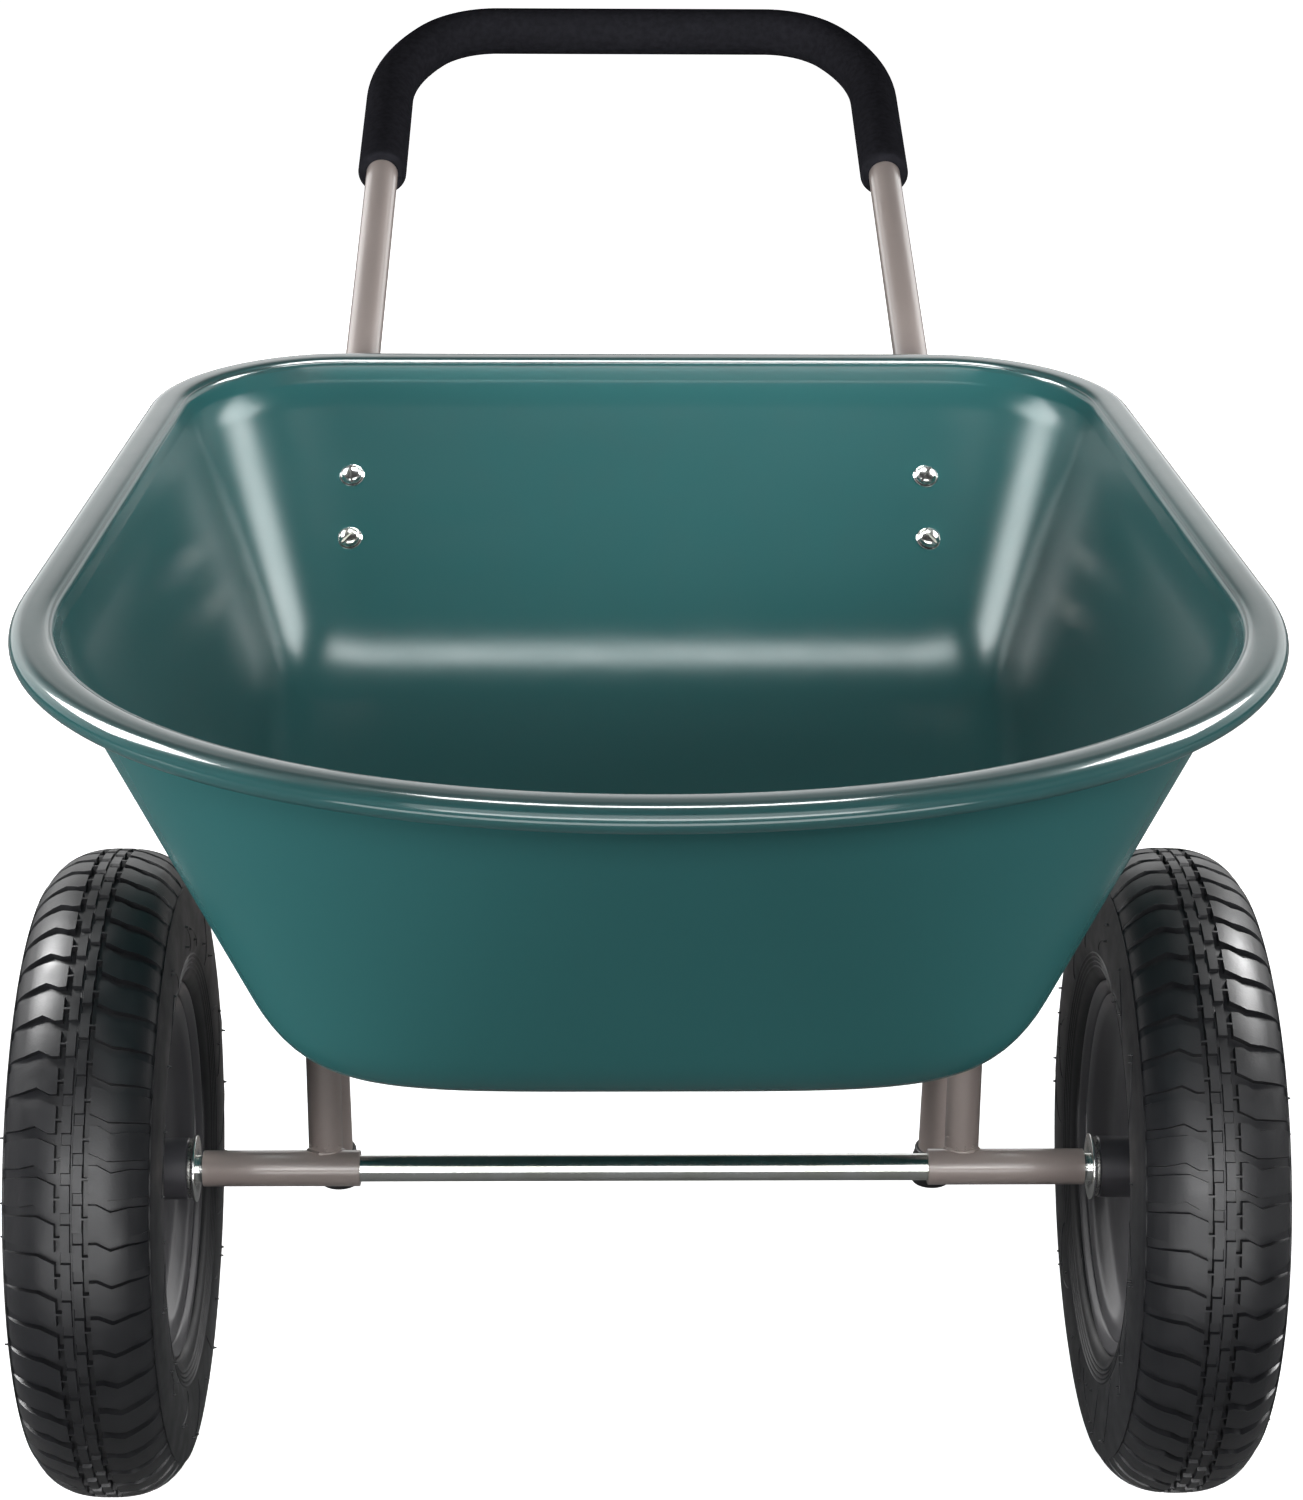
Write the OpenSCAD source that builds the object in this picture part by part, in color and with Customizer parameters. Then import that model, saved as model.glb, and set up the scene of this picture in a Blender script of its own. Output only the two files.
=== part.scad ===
// Two-wheeled garden barrow: a pressed steel tray with a rolled rim on a bent
// tube frame, a looped push handle with a foam grip, and two pneumatic wheels
// that turn on one through axle. The nose points to -Y and the ground is z = 0.

/* [Overall] */
// Length from the nose of the tray to the back of the grip
overall_l = 1202; // [1150:1:1260]
// Distance from the nose of the tray back to the axle
nose_overhang = 306; // [295:1:315]

/* [Wheels] */
// Outer diameter of the tyre
tyre_d = 356; // [350:1:362]
// Width of the tyre
tyre_w = 80; // [76:1:84]
// Distance between the middle planes of the two wheels
track = 580; // [576:1:590]
// Diameter of the rim flanges
rim_d = 208; // [204:1:212]
// Diameter of the axle rod
axle_d = 15; // [14:0.5:15.5]
// Radial running gap between the axle and the wheel bearings
running_gap = 0.05; // [0.02:0.01:0.1]

/* [Tray] */
// Height of the rim centre line at the nose
rim_nose_z = 503; // [498:1:508]
// Half width of the rim level with the axle
rim_half_w = 305; // [300:1:310]
// Width of the rolled rim
lip_w = 24; // [20:1:26]
// Height of the rolled rim
lip_h = 14; // [12:1:16]
// Thickness of the tray sheet
sheet_t = 1.2; // [1:0.1:1.5]

/* [Frame] */
// Distance between the two side tubes
frame_w = 355; // [350:1:360]
// Diameter of the handle tube
handle_d = 22.2; // [21:0.1:23]
// Diameter of the side rails and the legs
rail_d = 19; // [18:0.1:19.4]
// Wall thickness of the tubes
wall = 1.5; // [1.2:0.1:1.6]
// Outer diameter of the foam grip
foam_d = 34; // [32:1:36]

/* [Hidden] */
$fn = 64;

tray_green = [0.22, 0.40, 0.38];
frame_grey = [0.47, 0.45, 0.42];
zinc = [0.75, 0.75, 0.74];
rim_grey = [0.28, 0.28, 0.30];
rubber_black = [0.10, 0.10, 0.11];
foam_black = [0.12, 0.12, 0.13];

axle_y = nose_overhang - overall_l / 2;
axle_z = tyre_d / 2;
half_frame = frame_w / 2;
half_track = track / 2;

// Rim outline, with Y measured from the axle: nose, end of the front curve,
// exponent of the front curve, rear edge, rear corner radius, side taper.
lip_r = lip_w / 2;
rim_nose_y = lip_r - nose_overhang;
rim_front_y = -34;
rim_front_n = 2.04;
rim_rear_y = 384;
rim_corner_r = 93;
rim_taper = -0.073;
rim_slope = 0.059;

// Outline where the walls meet the floor.
floor_half_w = 190;
floor_nose_y = -208;
floor_front_y = -120;
floor_front_n = 5;
floor_rear_y = 226;
floor_corner_r = 50;
floor_taper = 0.087;
floor_slope = 0.18;
floor_axle_z = 352;
floor_angle = atan(floor_slope);
fillet_l = 40;
fillet_start = 0.8;
front_steps = 12;
side_steps = 3;
corner_steps = 7;

// Heights of the rim, the floor and the side rails at a distance from the axle.
function rim_z(y) = rim_nose_z + rim_slope * (y - rim_nose_y);
function floor_z(y) = floor_axle_z + floor_slope * y;
function rail_z(y) = rail_axle_z + floor_slope * y;

// Side tube centre line in the YZ plane, with Y measured from the axle.
handle_r = handle_d / 2;
rail_r = rail_d / 2;
tube_drop = (sheet_t + handle_r) / cos(floor_angle);
rail_axle_z = floor_axle_z - tube_drop;
back_top_y = rim_rear_y - lip_r;
back_rise = rim_z(back_top_y) - lip_h / 2 - floor_z(floor_rear_y);
back_slope = back_rise / (back_top_y - floor_rear_y);
back_angle = atan(back_slope);
back_clear = 1.9;
back_drop = (back_clear + handle_r) / cos(back_angle);
floor_bend_y = floor_rear_y + (back_drop - tube_drop) / (back_slope - floor_slope);
floor_bend_z = rail_z(floor_bend_y);
rim_bend_y = 367;
rim_bend_z = floor_bend_z + (rim_bend_y - floor_bend_y) * back_slope;
handle_angle = 18.9;
loop_normal = [0, -sin(handle_angle), cos(handle_angle)];
socket_d = rail_d + 0.6;
tube_sides = 24;
bend_step = 8;
bar_y = overall_l - nose_overhang - foam_d / 2;
bar_z = rim_bend_z + (bar_y - rim_bend_y) * tan(handle_angle);
tube_bend_r = 100;
strut_y = 7.3;
strut_bend_r = 64;
loop_wide_r = 150;
loop_wide_a = 35;
loop_tight_r = 60;
grip_end_y = 668;

// Joint of the handle tube over the side rail, and the leg beside it.
socket_y = 128;
rail_end_y = 195;
leg_x = half_frame + handle_r + rail_r + 0.1;
leg_front_y = 128;
leg_bend_y = 262;
leg_bend_r = 50;
foot_y = 324;
leg_bolt_y = [146, 182];
floor_bolt_y = 72.1;
wall_bolt_z = [457, 488];
bolt_d = 8;
bolt_hole_d = 8.4;
head_d = 15.5;
nut_w = 13;
nut_h = 6.5;
wall_bolt_l = 33;
wall_head_lift = 1.1;
floor_head_lift = 4.9;
floor_bolt_l = 31;
leg_bolt_l = 50;
foot_d = 26;
foot_h = 28;
foot_t = 6;

// Axle sleeve, and the stack on the axle at each wheel.
sleeve_in = 158;
sleeve_out = 245;
sleeve_d = 20;
hub_half = 39.5;
hub_d = 34;
washer_d = 37;
washer_t = 2;
axle_l = 2 * (half_track + hub_half + 12.5);
side_play = 0.3;
bearing_l = 14;
bearing_d = 28;
bearing_flange_d = 33;
bearing_flange_t = 2;
pin_x = half_track + hub_half + side_play + washer_t + 3;
pin_d = 3.6;
valve_d = 8;
valve_turn = 200;

function unit_cos(a, n) = pow(max(cos(a), 0), 2 / n);
function unit_sin(a, n) = pow(max(sin(a), 0), 2 / n);

// Half outline from the nose to the middle of the rear edge, grown outwards by o.
// p holds: half width, taper, nose, front end, exponent, rear, corner radius.
function half_outline(p, o) =
  let (w = p[0] + o, nose = p[2] - o, rear = p[5] + o, r = p[6] + o, run = p[3] - nose)
  concat(
    [for (i = [0 : front_steps])
      let (a = 90 * i / front_steps, y = p[3] - run * unit_cos(a, p[4]))
      [(w + p[1] * y) * unit_sin(a, p[4]), y]],
    [for (i = [1 : side_steps - 1])
      let (y = p[3] + (rear - r - p[3]) * i / side_steps)
      [w + p[1] * y, y]],
    [for (i = [0 : corner_steps])
      let (a = 90 * i / corner_steps, y = rear - r * (1 - sin(a)))
      [w + p[1] * y - r * (1 - cos(a)), y]],
    [[0, rear]]);

function outline(p, o) =
  let (h = half_outline(p, o), n = len(h))
  concat(h, [for (i = [n - 2 : -1 : 1]) [-h[i][0], h[i][1]]]);

rim_shape = [rim_half_w, rim_taper, rim_nose_y, rim_front_y, rim_front_n,
  rim_rear_y, rim_corner_r];
floor_shape = [floor_half_w, floor_taper, floor_nose_y, floor_front_y, floor_front_n,
  floor_rear_y, floor_corner_r];

function rim_ring(o, up) = [for (q = outline(rim_shape, o)) [q[0], q[1], rim_z(q[1]) + up]];
function floor_ring(o, up) =
  [for (q = outline(floor_shape, o)) [q[0], q[1], floor_z(q[1]) + up]];
function mix_rings(a, b, v) = [for (i = [0 : len(a) - 1]) a[i] * (1 - v) + b[i] * v];
function fillet_ring(top, corner, base, u) =
  [for (i = [0 : len(top) - 1])
    top[i] * (1 - u) * (1 - u) + corner[i] * 2 * u * (1 - u) + base[i] * u * u];

// One face of the sheet, from the floor up to the wall under the rim.
function sheet_rings(o, drop) =
  let (rim = rim_ring(o - lip_r, -lip_h / 2), corner = floor_ring(o, -drop),
    base = floor_ring(o - fillet_l, -drop), top = mix_rings(rim, corner, fillet_start))
  [base, fillet_ring(top, corner, base, 0.75), fillet_ring(top, corner, base, 0.5),
    fillet_ring(top, corner, base, 0.25), top, mix_rings(rim, corner, 0.4), rim];

// The rolled rim as offsets from its centre line: outwards, upwards.
lip_profile = [[-lip_r + 0.6, 2], [-lip_r + 4, lip_h / 2], [lip_r - 6, lip_h / 2],
  [lip_r - 1.5, lip_h / 3.5], [lip_r, 0], [lip_r - 1.5, -lip_h / 3.5],
  [lip_r - 6, -lip_h / 2]];

module rings_solid(rings) {
  n = len(rings[0]);
  last = len(rings) - 1;
  points = [for (r = rings) each r];
  sides = [for (k = [0 : last - 1], i = [0 : n - 1])
    let (j = (i + 1) % n, a = k * n + i, b = k * n + j, c = a + n, d = b + n)
    each [[a, c, b], [b, c, d]]];
  first_cap = [for (i = [0 : n - 1]) i];
  last_cap = [for (i = [n - 1 : -1 : 0]) last * n + i];
  polyhedron(points, concat(sides, [first_cap, last_cap]), convexity = 8);
}

module at_axle() {
  translate([0, axle_y, 0]) children();
}

module both_sides() {
  children();
  mirror([1, 0, 0]) children();
}

// Turns a shape built along +Z so that it points along +X.
module along_x() {
  rotate([0, 90, 0]) children();
}

// Puts a fastener's axis, head upwards, square to the tray at a point (y, z).
module square_to(y, z, angle) {
  translate([half_frame, y, z]) rotate([angle, 0, 0]) children();
}

// Slotted pan-head bolt, its head on z = 0 and its shank of length l below.
module pan_bolt(l) {
  difference() {
    rotate_extrude()
      polygon([[0, -l], [bolt_d / 2 - 0.6, -l], [bolt_d / 2, -l + 0.6], [bolt_d / 2, 0],
        [head_d / 2, 0], [head_d / 2, 1.1], [head_d / 2 - 1.2, 1.7],
        [head_d / 2 - 2.2, 3.4], [head_d / 2 - 4.4, 4.4], [0, 4.7]]);
    translate([-head_d / 2, -0.8, 3]) cube([head_d, 1.6, 3]);
  }
}

module hex_nut() {
  difference() {
    cylinder(d = nut_w / cos(30), h = nut_h, $fn = 6);
    translate([0, 0, -1]) cylinder(d = bolt_d + 0.1, h = nut_h + 2);
  }
}

// Distance from the axle of a point at height z on the inner face of the rear wall.
function wall_y(z) = floor_rear_y + (z - floor_z(floor_rear_y)) / back_slope;

module wall_bolt_places() {
  both_sides() for (z = wall_bolt_z) square_to(wall_y(z), z, back_angle) children();
}

module floor_bolt_places() {
  both_sides() square_to(floor_bolt_y, floor_z(floor_bolt_y), floor_angle) children();
}

module leg_bolt_places() {
  both_sides() for (y = leg_bolt_y)
    translate([leg_x + rail_r, y, rail_z(y)]) along_x() children();
}

// Turns a shape built along +Z so that it points from the origin along the unit
// vector w, with u and v completing a right-handed set.
module framed(p, u, v, w) {
  multmatrix([[u[0], v[0], w[0], p[0]], [u[1], v[1], w[1], p[1]],
    [u[2], v[2], w[2], p[2]], [0, 0, 0, 1]]) children();
}

function unit(v) = v / norm(v);
function side_of(w) = unit(cross(abs(w[0]) < 0.9 ? [1, 0, 0] : [0, 1, 0], w));
function turn(p, i) = acos(unit(p[i] - p[i - 1]) * unit(p[i + 1] - p[i]));

// Stations [point, direction] round corner i of the run p, bent to radius r.
function bend_stations(p, i, r) =
  let (a = unit(p[i] - p[i - 1]), b = unit(p[i + 1] - p[i]), t = turn(p, i),
    inward = unit(b - a * (a * b)), n = ceil(t / bend_step),
    centre = p[i] - a * r * tan(t / 2) + inward * r)
  [for (k = [0 : n]) let (c = t * k / n)
    [centre + (a * sin(c) - inward * cos(c)) * r, a * cos(c) + inward * sin(c)]];

// Stations along the run p, with the bend radius r[i] at corner i.
function stations(p, r) =
  let (n = len(p) - 1)
  concat([[p[0], unit(p[1] - p[0])]],
    [for (i = [1 : n - 1]) each bend_stations(p, i, r[i])],
    [[p[n], unit(p[n] - p[n - 1])]]);

// Circle of radius r at each station; ref is never along the run.
function station_ring(q, ref, r) =
  let (u = unit(cross(q[1], ref)), v = cross(q[1], u))
  [for (k = [0 : tube_sides - 1]) let (c = 360 * k / tube_sides)
    q[0] + (u * cos(c) + v * sin(c)) * r];

// Tube of outer diameter d along a run, open at both ends.
module tube(p, r, ref, d, bore) {
  path = stations(p, r);
  outside = [for (q = path) station_ring(q, ref, d / 2)];
  inside = [for (i = [len(path) - 1 : -1 : 0]) station_ring(path[i], ref, bore / 2)];
  rings = concat(outside, inside);
  count = len(rings);
  faces = [for (k = [0 : count - 1], i = [0 : tube_sides - 1])
    let (j = (i + 1) % tube_sides, a = k * tube_sides, b = ((k + 1) % count) * tube_sides)
    each [[a + i, a + j, b + i], [b + i, a + j, b + j]]];
  polyhedron([for (q = rings) each q], faces, convexity = 8);
}

// A run on the right side, carried over to its mirror image on the left.
function mirrored_run(p) =
  concat(p, [for (i = [len(p) - 1 : -1 : 0]) [-p[i][0], p[i][1], p[i][2]]]);
function mirrored_bends(r) = concat(r, [for (i = [len(r) - 1 : -1 : 0]) r[i]]);

// Handle tube on the right side, from its lower end to the start of the bar.
loop_lean = loop_wide_r * tan(loop_wide_a / 2) + loop_tight_r * tan(45 - loop_wide_a / 2);
loop_back = loop_lean * cos(loop_wide_a);
loop_corner = [half_frame, bar_y - loop_back * cos(handle_angle),
  bar_z - loop_back * sin(handle_angle)];
bar_corner = [half_frame - loop_lean * sin(loop_wide_a), bar_y, bar_z];
handle_path = [[half_frame, socket_y, rail_z(socket_y)],
  [half_frame, floor_bend_y, floor_bend_z], [half_frame, rim_bend_y, rim_bend_z],
  loop_corner, bar_corner];
handle_bends = [0, tube_bend_r, tube_bend_r, loop_wide_r, loop_tight_r];
grip_path = [[half_frame, grip_end_y, rim_bend_z + (grip_end_y - rim_bend_y) * tan(handle_angle)],
  loop_corner, bar_corner];
grip_bends = [0, loop_wide_r, loop_tight_r];
rail_path = [[half_frame, strut_y, axle_z + 1.3], [half_frame, strut_y, rail_z(strut_y)],
  [half_frame, rail_end_y, rail_z(rail_end_y)]];
rail_bends = [0, strut_bend_r, 0];
leg_corner = [leg_x, leg_bend_y, rail_z(leg_bend_y)];
foot_point = [leg_x, foot_y, 0];
leg_axis = unit(foot_point - leg_corner);
leg_path = [[leg_x, leg_front_y, rail_z(leg_front_y)], leg_corner, foot_point - leg_axis * foot_t];
leg_bends = [0, leg_bend_r, 0];

module tray() {
  inner = sheet_rings(0, 0);
  outer = sheet_rings(sheet_t * 1.25, sheet_t);
  lip = [for (q = lip_profile) rim_ring(q[0], q[1])];
  rings = concat(inner, lip, [for (i = [len(outer) - 1 : -1 : 0]) outer[i]]);
  color(tray_green) at_axle() difference() {
    rings_solid(rings);
    wall_bolt_places() cylinder(d = bolt_hole_d, h = 12, center = true);
    floor_bolt_places() cylinder(d = bolt_hole_d, h = 12, center = true);
  }
}

module handle_tube() {
  color(frame_grey) at_axle() difference() {
    tube(mirrored_run(handle_path), mirrored_bends(handle_bends), loop_normal, handle_d, socket_d);
    wall_bolt_places() translate([0, 0, -40]) cylinder(d = bolt_hole_d, h = 40);
    leg_bolt_places() translate([0, 0, -60]) cylinder(d = bolt_hole_d, h = 60);
  }
}

module foam_grip() {
  color(foam_black) at_axle()
    tube(mirrored_run(grip_path), mirrored_bends(grip_bends), loop_normal, foam_d, handle_d);
}

module side_rail() {
  color(frame_grey) at_axle() difference() {
    tube(rail_path, rail_bends, [1, 0, 0], rail_d, rail_d - 2 * wall);
    translate([sleeve_in, 0, axle_z]) along_x() cylinder(d = sleeve_d, h = sleeve_out - sleeve_in);
    floor_bolt_places() translate([0, 0, -40]) cylinder(d = bolt_hole_d, h = 40);
    leg_bolt_places() translate([0, 0, -60]) cylinder(d = bolt_hole_d, h = 60);
  }
}
module right_side_rail() side_rail();
module left_side_rail() mirror([1, 0, 0]) side_rail();

module axle_sleeve() {
  color(frame_grey) translate([sleeve_in, axle_y, axle_z]) along_x() difference() {
    cylinder(d = sleeve_d, h = sleeve_out - sleeve_in);
    translate([0, 0, -1]) cylinder(d = axle_d, h = sleeve_out - sleeve_in + 2);
  }
}
module right_axle_sleeve() axle_sleeve();
module left_axle_sleeve() mirror([1, 0, 0]) axle_sleeve();

module leg() {
  color(frame_grey) at_axle() difference() {
    tube(leg_path, leg_bends, [1, 0, 0], rail_d, rail_d - 2 * wall);
    leg_bolt_places() translate([0, 0, -60]) cylinder(d = bolt_hole_d, h = 61);
  }
}
module right_leg() leg();
module left_leg() mirror([1, 0, 0]) leg();

// Plastic cap on the leg's lower end, flat on the ground.
module foot() {
  pocket = foot_point - leg_axis * foot_t;
  color(rubber_black) at_axle() intersection() {
    difference() {
      framed(foot_point - leg_axis * foot_h, side_of(leg_axis),
        cross(leg_axis, side_of(leg_axis)), leg_axis) cylinder(d = foot_d, h = foot_h + 6);
      framed(pocket, side_of(-leg_axis), cross(-leg_axis, side_of(-leg_axis)), -leg_axis)
        cylinder(d = rail_d, h = foot_h);
    }
    translate([leg_x - foot_d, foot_y - foot_d, 0]) cube(2 * foot_d);
  }
}
module right_foot() foot();
module left_foot() mirror([1, 0, 0]) foot();

module axle_rod() {
  color(zinc) translate([-axle_l / 2, axle_y, axle_z]) along_x() difference() {
    rotate_extrude()
      polygon([[0, 0], [axle_d / 2 - 1, 0], [axle_d / 2, 1], [axle_d / 2, axle_l - 1],
        [axle_d / 2 - 1, axle_l], [0, axle_l]]);
    for (s = [-1, 1]) translate([0, 0, axle_l / 2 + s * pin_x])
      rotate([0, 90, 0]) cylinder(d = pin_d, h = 2 * axle_d, center = true);
  }
}

module rear_wall_bolts() {
  color(zinc) at_axle() wall_bolt_places() translate([0, 0, wall_head_lift])
    pan_bolt(wall_bolt_l + wall_head_lift);
}
module rear_wall_nuts() {
  color(zinc) at_axle() wall_bolt_places()
    translate([0, 0, -back_clear - handle_d - nut_h]) hex_nut();
}
module floor_bolts() {
  color(zinc) at_axle() floor_bolt_places() translate([0, 0, floor_head_lift])
    pan_bolt(floor_bolt_l + floor_head_lift);
}
module floor_spacers() {
  color(zinc) at_axle() floor_bolt_places() translate([0, 0, -sheet_t - handle_r + rail_r])
    difference() {
      cylinder(d = 18, h = handle_r - rail_r);
      translate([0, 0, -1]) cylinder(d = bolt_hole_d, h = 4);
    }
}
module floor_nuts() {
  color(zinc) at_axle() floor_bolt_places()
    translate([0, 0, -sheet_t - handle_r - rail_r - nut_h]) hex_nut();
}
module leg_bolts() {
  color(zinc) at_axle() leg_bolt_places() pan_bolt(leg_bolt_l);
}
module leg_nuts() {
  color(zinc) at_axle() leg_bolt_places()
    translate([0, 0, half_frame - handle_r - nut_h - leg_x - rail_r]) hex_nut();
}

module axle_washers(x) {
  color(zinc) both_sides() translate([x, axle_y, axle_z]) along_x() difference() {
    cylinder(d = washer_d, h = washer_t);
    translate([0, 0, -1]) cylinder(d = axle_d, h = washer_t + 2);
  }
}
module inner_washers() axle_washers(half_track - hub_half - side_play - washer_t);
module outer_washers() axle_washers(half_track + hub_half + side_play);

// Split pin: a shank through the axle, a loop above it and two spread ends.
module cotter_pin() {
  color(zinc) translate([pin_x, axle_y, axle_z]) {
    cylinder(d = pin_d, h = axle_d + 6, center = true);
    translate([0, 0, axle_d / 2 + 6]) rotate([0, 90, 0])
      rotate_extrude() translate([3.6, 0]) circle(d = pin_d * 0.7);
    for (s = [-1, 1]) translate([0, 0, -axle_d / 2 - 3]) rotate([s * 50, 0, 0])
      translate([0, 0, -9]) cylinder(d = pin_d * 0.7, h = 9);
  }
}
module right_cotter_pin() cotter_pin();
module left_cotter_pin() mirror([1, 0, 0]) cotter_pin();

// Wheel pieces are drawn round the Z axis, with +Z pointing outwards.
module on_wheel(side) {
  translate([side * half_track, axle_y, axle_z]) rotate([0, side * 90, 0]) children();
}

seat_r = rim_d / 2 - 5.5;
well_r = rim_d / 2 - 12;
tube_mid_r = 140;
crown_h = tyre_d / 2 - tube_mid_r;
crown_n = 2.5;
tyre_half_w = tyre_w / 2;
tread_t = 9;
side_t = 5;

// Crown of the tyre from one side to the other, as an outline of half width w
// and height h above the middle of the section.
function crown(w, h) =
  [for (a = [0 : 7.5 : 180])
    [tube_mid_r + h * unit_sin(a, crown_n),
      w * (a < 90 ? unit_cos(a, crown_n) : -unit_cos(180 - a, crown_n))]];
function mirrored(p) = [for (i = [len(p) - 1 : -1 : 0]) [p[i][0], -p[i][1]]];

// Bead and lower sidewall, outside and inside, up to where the crown starts.
outer_side = [[seat_r + 0.1, 18], [seat_r + 0.1, 26.9], [rim_d / 2 + 0.1, 28.9],
  [rim_d / 2 + 0.1, 31], [rim_d / 2 + 3, 34], [rim_d / 2 + 8, 36.5], [rim_d / 2 + 18, 39.2]];
inner_side = [[rim_d / 2 + 23, 34.4], [rim_d / 2 + 12, 32], [rim_d / 2 + 4, 26]];

module tyre(side) {
  outer = concat(outer_side, crown(tyre_half_w, crown_h), mirrored(outer_side));
  inner_crown = crown(tyre_half_w - side_t, crown_h - tread_t);
  back = [for (i = [len(inner_crown) - 1 : -1 : 0]) inner_crown[i]];
  inner = concat(mirrored(inner_side), back, inner_side);
  color(rubber_black) on_wheel(side) rotate_extrude($fn = 128)
    polygon(concat(outer, inner));
}

// Butyl tube that fills the tyre between the beads and lies on the rim band.
butyl_t = 2.5;
butyl_side = [[well_r + 0.1, 7.5], [seat_r + 0.2, 12], [seat_r + 0.2, 17], [rim_d / 2 + 4, 25.9],
  [rim_d / 2 + 12, 31.9], [rim_d / 2 + 23, 34.3]];
butyl_void_side = [[well_r + butyl_t, 6], [seat_r + butyl_t, 12], [rim_d / 2 + 6, 23],
  [rim_d / 2 + 14, 29]];

module inner_tube(side) {
  skin = concat(butyl_side, crown(tyre_half_w - side_t - 0.1, crown_h - tread_t - 0.1),
    mirrored(butyl_side));
  void = concat(butyl_void_side, crown(tyre_half_w - side_t - butyl_t, crown_h - tread_t - butyl_t),
    mirrored(butyl_void_side));
  color(rubber_black) on_wheel(side) difference() {
    rotate_extrude() difference() {
      polygon(skin);
      polygon(void);
    }
    valve_axis() translate([0, 0, -3]) cylinder(d = valve_d, h = 20);
  }
}

// Half section of the rim band: well, bead seat, flange and the underside.
band_half = [[well_r, 0], [well_r, 8], [seat_r, 12], [seat_r, 27], [rim_d / 2, 29],
  [rim_d / 2, 31], [rim_d / 2 - 2, 31.5], [seat_r - 2, 29], [seat_r - 2, 12.8],
  [well_r - 2, 8.8], [well_r - 2, 0]];

// Places a shape along the valve, which leans out of the well towards the hub.
module valve_axis() {
  rotate([0, 0, valve_turn]) translate([seat_r - 1, 0, 1]) rotate([0, -30, 0]) children();
}

module rim_band(side) {
  color(rim_grey) on_wheel(side) difference() {
    rotate_extrude($fn = 128)
      polygon(concat(band_half, [for (i = [len(band_half) - 2 : -1 : 1])
        [band_half[i][0], -band_half[i][1]]]));
    valve_axis() cylinder(d = valve_d + 0.4, h = 20);
  }
}

// Half section of a pressed disc: flat middle, raised edge and rim seat.
disc_profile = [[hub_d / 2, 12], [66, 12], [seat_r - 16, 15.5], [seat_r - 7.5, 24.5],
  [seat_r - 2, 24.5], [seat_r - 2, 26.5], [seat_r - 8.5, 26.5], [seat_r - 17, 17.5],
  [65, 14], [hub_d / 2, 14]];

module disc_inner(side) {
  color(rim_grey) on_wheel(side) mirror([0, 0, 1])
    rotate_extrude($fn = 128) polygon(disc_profile);
}
module disc_outer(side) {
  color(rim_grey) on_wheel(side) difference() {
    rotate_extrude($fn = 128) polygon(disc_profile);
    valve_axis() cylinder(d = valve_d + 0.4, h = 40);
  }
}

module hub(side) {
  l = 2 * (hub_half - bearing_flange_t);
  color(rim_grey) on_wheel(side) difference() {
    cylinder(d = hub_d, h = l, center = true);
    cylinder(d = bearing_d, h = l + 2, center = true);
  }
}

// Flanged bush at the outer end of the hub, bored to run on the axle.
module bearing(side) {
  bore = axle_d / 2 + running_gap;
  color(zinc) on_wheel(side) rotate_extrude()
    polygon([[bore, hub_half - bearing_l], [bearing_d / 2, hub_half - bearing_l],
      [bearing_d / 2, hub_half - bearing_flange_t],
      [bearing_flange_d / 2, hub_half - bearing_flange_t],
      [bearing_flange_d / 2, hub_half], [bore, hub_half]]);
}
module bearing_at_back(side) {
  translate([2 * side * half_track, 0, 0]) mirror([1, 0, 0]) bearing(side);
}

module valve_stem(side) {
  color(rubber_black) on_wheel(side) valve_axis() rotate_extrude()
    polygon([[0, -2], [valve_d / 2, -2], [valve_d / 2, 28], [2.6, 30], [2.6, 36], [0, 36]]);
}
module valve_cap(side) {
  color(rubber_black) on_wheel(side) valve_axis() rotate_extrude()
    polygon([[2.6, 31], [4, 31], [4, 38], [3.2, 39.5], [0, 39.5], [0, 36], [2.6, 36]]);
}

module left_tyre() tyre(-1);
module left_inner_tube() inner_tube(-1);
module left_rim_band() rim_band(-1);
module left_disc_inner() disc_inner(-1);
module left_disc_outer() disc_outer(-1);
module left_hub() hub(-1);
module left_bearing_inner() bearing_at_back(-1);
module left_bearing_outer() bearing(-1);
module left_valve_stem() valve_stem(-1);
module left_valve_cap() valve_cap(-1);
module right_tyre() tyre(1);
module right_inner_tube() inner_tube(1);
module right_rim_band() rim_band(1);
module right_disc_inner() disc_inner(1);
module right_disc_outer() disc_outer(1);
module right_hub() hub(1);
module right_bearing_inner() bearing_at_back(1);
module right_bearing_outer() bearing(1);
module right_valve_stem() valve_stem(1);
module right_valve_cap() valve_cap(1);

tray();
handle_tube();
foam_grip();
left_side_rail();
right_side_rail();
left_axle_sleeve();
right_axle_sleeve();
left_leg();
right_leg();
left_foot();
right_foot();
axle_rod();
rear_wall_bolts();
rear_wall_nuts();
floor_bolts();
floor_spacers();
floor_nuts();
leg_bolts();
leg_nuts();
inner_washers();
outer_washers();
left_cotter_pin();
right_cotter_pin();
left_tyre();
left_inner_tube();
left_rim_band();
left_disc_inner();
left_disc_outer();
left_hub();
left_bearing_inner();
left_bearing_outer();
left_valve_stem();
left_valve_cap();
right_tyre();
right_inner_tube();
right_rim_band();
right_disc_inner();
right_disc_outer();
right_hub();
right_bearing_inner();
right_bearing_outer();
right_valve_stem();
right_valve_cap();
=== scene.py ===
import math

import bmesh
import bpy
import numpy as np
from mathutils import Matrix, Vector


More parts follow.
